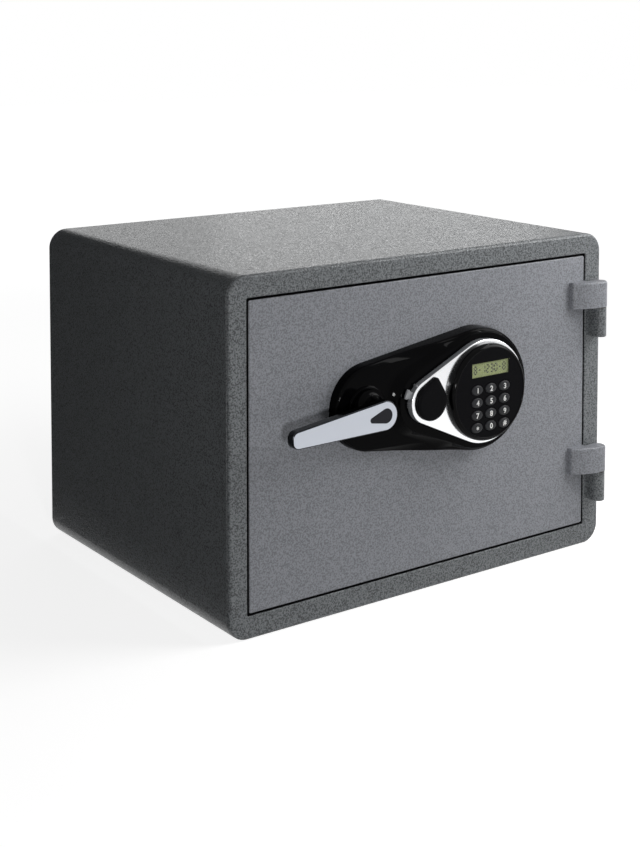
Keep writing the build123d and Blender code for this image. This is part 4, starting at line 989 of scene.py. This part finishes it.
class SAFE_OT_studio(bpy.types.Operator):
    """Pale floor, soft lights, white surroundings and the camera of the photograph"""
    bl_idname = "safe.studio"
    bl_label = "Studio"

    def execute(self, context):
        scene = context.scene
        scene.view_settings.view_transform = "Standard"
        self.world(scene)
        self.floor()
        self.flags()
        self.lights()
        self.camera(scene)
        return {"FINISHED"}

    def seen_directly(self, tree):
        """1 for rays that see the surroundings: from the camera, in a mirror or through glass."""
        rays = node(tree, "ShaderNodeLightPath").outputs
        total = node(tree, "ShaderNodeMath", {0: rays["Is Camera Ray"], 1: rays["Is Glossy Ray"]})
        return node(tree, "ShaderNodeMath", {0: total.outputs[0], 1: rays["Is Transmission Ray"]},
                    use_clamp=True).outputs[0]

    def world(self, scene):
        """Full white where the surroundings are seen, and a faint even light on the safe."""
        scene.world = bpy.data.worlds.new("white_surroundings")
        scene.world.use_nodes = True
        tree = scene.world.node_tree
        strength = node(tree, "ShaderNodeMapRange",
                        {"Value": self.seen_directly(tree), "To Min": 0.05, "To Max": 1.0})
        background = tree.nodes["Background"]
        tree.links.new(strength.outputs["Result"], background.inputs["Strength"])
        background.inputs["Color"].default_value = (1, 1, 1, 1)

    def floor(self):
        """White paper that keeps the shadow and fades to full white away from the safe, so no horizon shows."""
        half_size, below = 6, 0.3 * MM
        mesh = bmesh.new()
        bmesh.ops.create_grid(mesh, x_segments=8, y_segments=8, size=half_size)
        bmesh.ops.translate(mesh, verts=mesh.verts, vec=(0, 0, -below))
        data = bpy.data.meshes.new("studio_floor")
        mesh.to_mesh(data)
        mesh.free()
        material = bpy.data.materials.new("white_paper")
        material.use_nodes = True
        tree = material.node_tree
        tree.nodes.remove(tree.nodes["Principled BSDF"])
        place = node(tree, "ShaderNodeTexCoord").outputs["Object"]
        away = node(tree, "ShaderNodeVectorMath", {0: place}, operation="LENGTH").outputs["Value"]
        fade = node(tree, "ShaderNodeMapRange",
                    {"Value": away, "From Min": 0.5, "From Max": 1.8, "To Min": 0.82, "To Max": 1.0})
        glow = node(tree, "ShaderNodeMath", {0: self.seen_directly(tree), 1: fade.outputs["Result"]},
                    operation="MULTIPLY")
        lit = node(tree, "ShaderNodeBsdfDiffuse", {"Color": (0.5, 0.5, 0.5, 1)})
        white = node(tree, "ShaderNodeEmission", {"Strength": glow.outputs[0]})
        both = node(tree, "ShaderNodeAddShader", {0: lit.outputs[0], 1: white.outputs[0]})
        tree.links.new(both.outputs[0], tree.nodes["Material Output"].inputs["Surface"])
        data.materials.append(material)
        linked("studio_floor", data)

    def flags(self):
        """Black flags out of view, which keep what the left side and the rounded edges mirror deep in tone."""
        material, tree, principled, place = new_finish("black_flag", {"Roughness": 0.9})
        weave = node(tree, "ShaderNodeTexNoise", {"Vector": place, "Scale": 1 / (10 * MM)}).outputs["Fac"]
        coat(tree, principled, (linear("#101010"), weave, 0.1))
        # Each flag by name and two opposite corners in metres
        for name, (x0, y0, z0), (x1, y1, z1) in (
                ("floor_flag", (-2.7, -0.35, 0.001), (-0.22, 1.9, 0.001)),
                ("rear_flag", (-3.2, 1.9, 0.0), (0.45, 1.9, 3.0)),
                ("rear_high_flag", (0.45, 1.9, 1.05), (3.4, 1.9, 3.0))):
            # A lying flag turns its corners in y, a standing one in z
            far = (y1, z0) if z0 == z1 else (y0, z1)
            data = bpy.data.meshes.new(name)
            data.from_pydata([(x0, y0, z0), (x1, y0, z0), (x1, *far), (x0, *far)], [], [(0, 1, 2, 3)])
            data.materials.append(material)
            flag = linked(name, data)
            flag.visible_camera = flag.visible_shadow = False

    def lights(self):
        """Soft lights round the middle of the safe."""
        middle = Vector((0, -0.05, 0.15))
        # Each light by name, turn from the front and height angle in degrees, distance, width and height in
        # metres, and watts
        for name, turn, rise, distance, wide, tall, watts in (
                ("front_left_lamp", -28.4, 6, 1.7, 0.16, 0.16, 8.5),
                ("front_right_softbox", 52, 30, 0.75, 0.5, 0.4, 4.0),
                ("left_strip", -62, 24, 1.6, 0.015, 0.5, 0.6),
                ("rear_softbox", 150, 34, 1.0, 0.8, 0.6, 0.9),
                ("rear_low_softbox", 141, 6, 2.2, 0.8, 0.2, 0.9),
                ("overhead_strip", 72, 52, 1.3, 0.9, 0.025, 2.0)):
            data = bpy.data.lights.new(name, "AREA")
            # The lamp is round, so that the gloss of the panel shows it as a soft dot
            data.shape = "DISK" if wide == tall else "RECTANGLE"
            data.size, data.size_y, data.energy = wide, tall, watts
            light = linked(name, data)
            a, e = math.radians(turn), math.radians(rise)
            toward = Vector((math.sin(a) * math.cos(e), -math.cos(a) * math.cos(e), math.sin(e)))
            light.location = middle + toward * distance
            light.rotation_euler = toward.to_track_quat("Z", "Y").to_euler()
            light.visible_camera = False

    def camera(self, scene):
        """The camera fitted to the photograph's box edges: focal length and level axis in its pixels."""
        focal_pixels, axis_row, tilt, turn = 1529.1, 102.1, -3.57, -35.89
        data = bpy.data.cameras.new("camera")
        data.sensor_width = 36
        data.lens = focal_pixels * data.sensor_width / IMAGE_HEIGHT
        data.shift_y = (axis_row - IMAGE_HEIGHT / 2) / IMAGE_HEIGHT
        data.clip_start, data.clip_end = 0.05, 50
        camera = linked("camera", data)
        camera.location = (-0.8388, -1.1537, 0.5034)
        camera.rotation_euler = (math.radians(90 + tilt), 0, math.radians(turn))
        scene.camera = camera


OPERATORS = (SAFE_OT_studio, SAFE_OT_finishes, SAFE_OT_body, SAFE_OT_back_screws, SAFE_OT_door,
             SAFE_OT_lock_panel, SAFE_OT_trim, SAFE_OT_lever, SAFE_OT_keypad, SAFE_OT_keys,
             SAFE_OT_key_cover, SAFE_OT_seal)


class SAFE_PT_panel(bpy.types.Panel):
    """Sizes, colours and the pieces of the safe"""
    bl_idname = "SAFE_PT_panel"
    bl_label = "Fireproof safe"
    bl_space_type = "VIEW_3D"
    bl_region_type = "UI"
    bl_category = "Safe"

    def draw(self, context):
        for group in (context.scene.safe_sizes, context.scene.safe_colours):
            for name in type(group).__annotations__:
                self.layout.prop(group, name)
        for operator in OPERATORS:
            self.layout.operator(operator.bl_idname)


CLASSES = (SafeSizes, SafeColours, *OPERATORS, SAFE_PT_panel)


def register():
    for cls in CLASSES:
        bpy.utils.register_class(cls)
    bpy.types.Scene.safe_sizes = bpy.props.PointerProperty(type=SafeSizes)
    bpy.types.Scene.safe_colours = bpy.props.PointerProperty(type=SafeColours)


def unregister():
    del bpy.types.Scene.safe_sizes
    del bpy.types.Scene.safe_colours
    for cls in reversed(CLASSES):
        bpy.utils.unregister_class(cls)


def main():
    register()
    for operator in OPERATORS:
        group, name = operator.bl_idname.split(".")
        getattr(getattr(bpy.ops, group), name)()


if __name__ == "__main__":
    main()
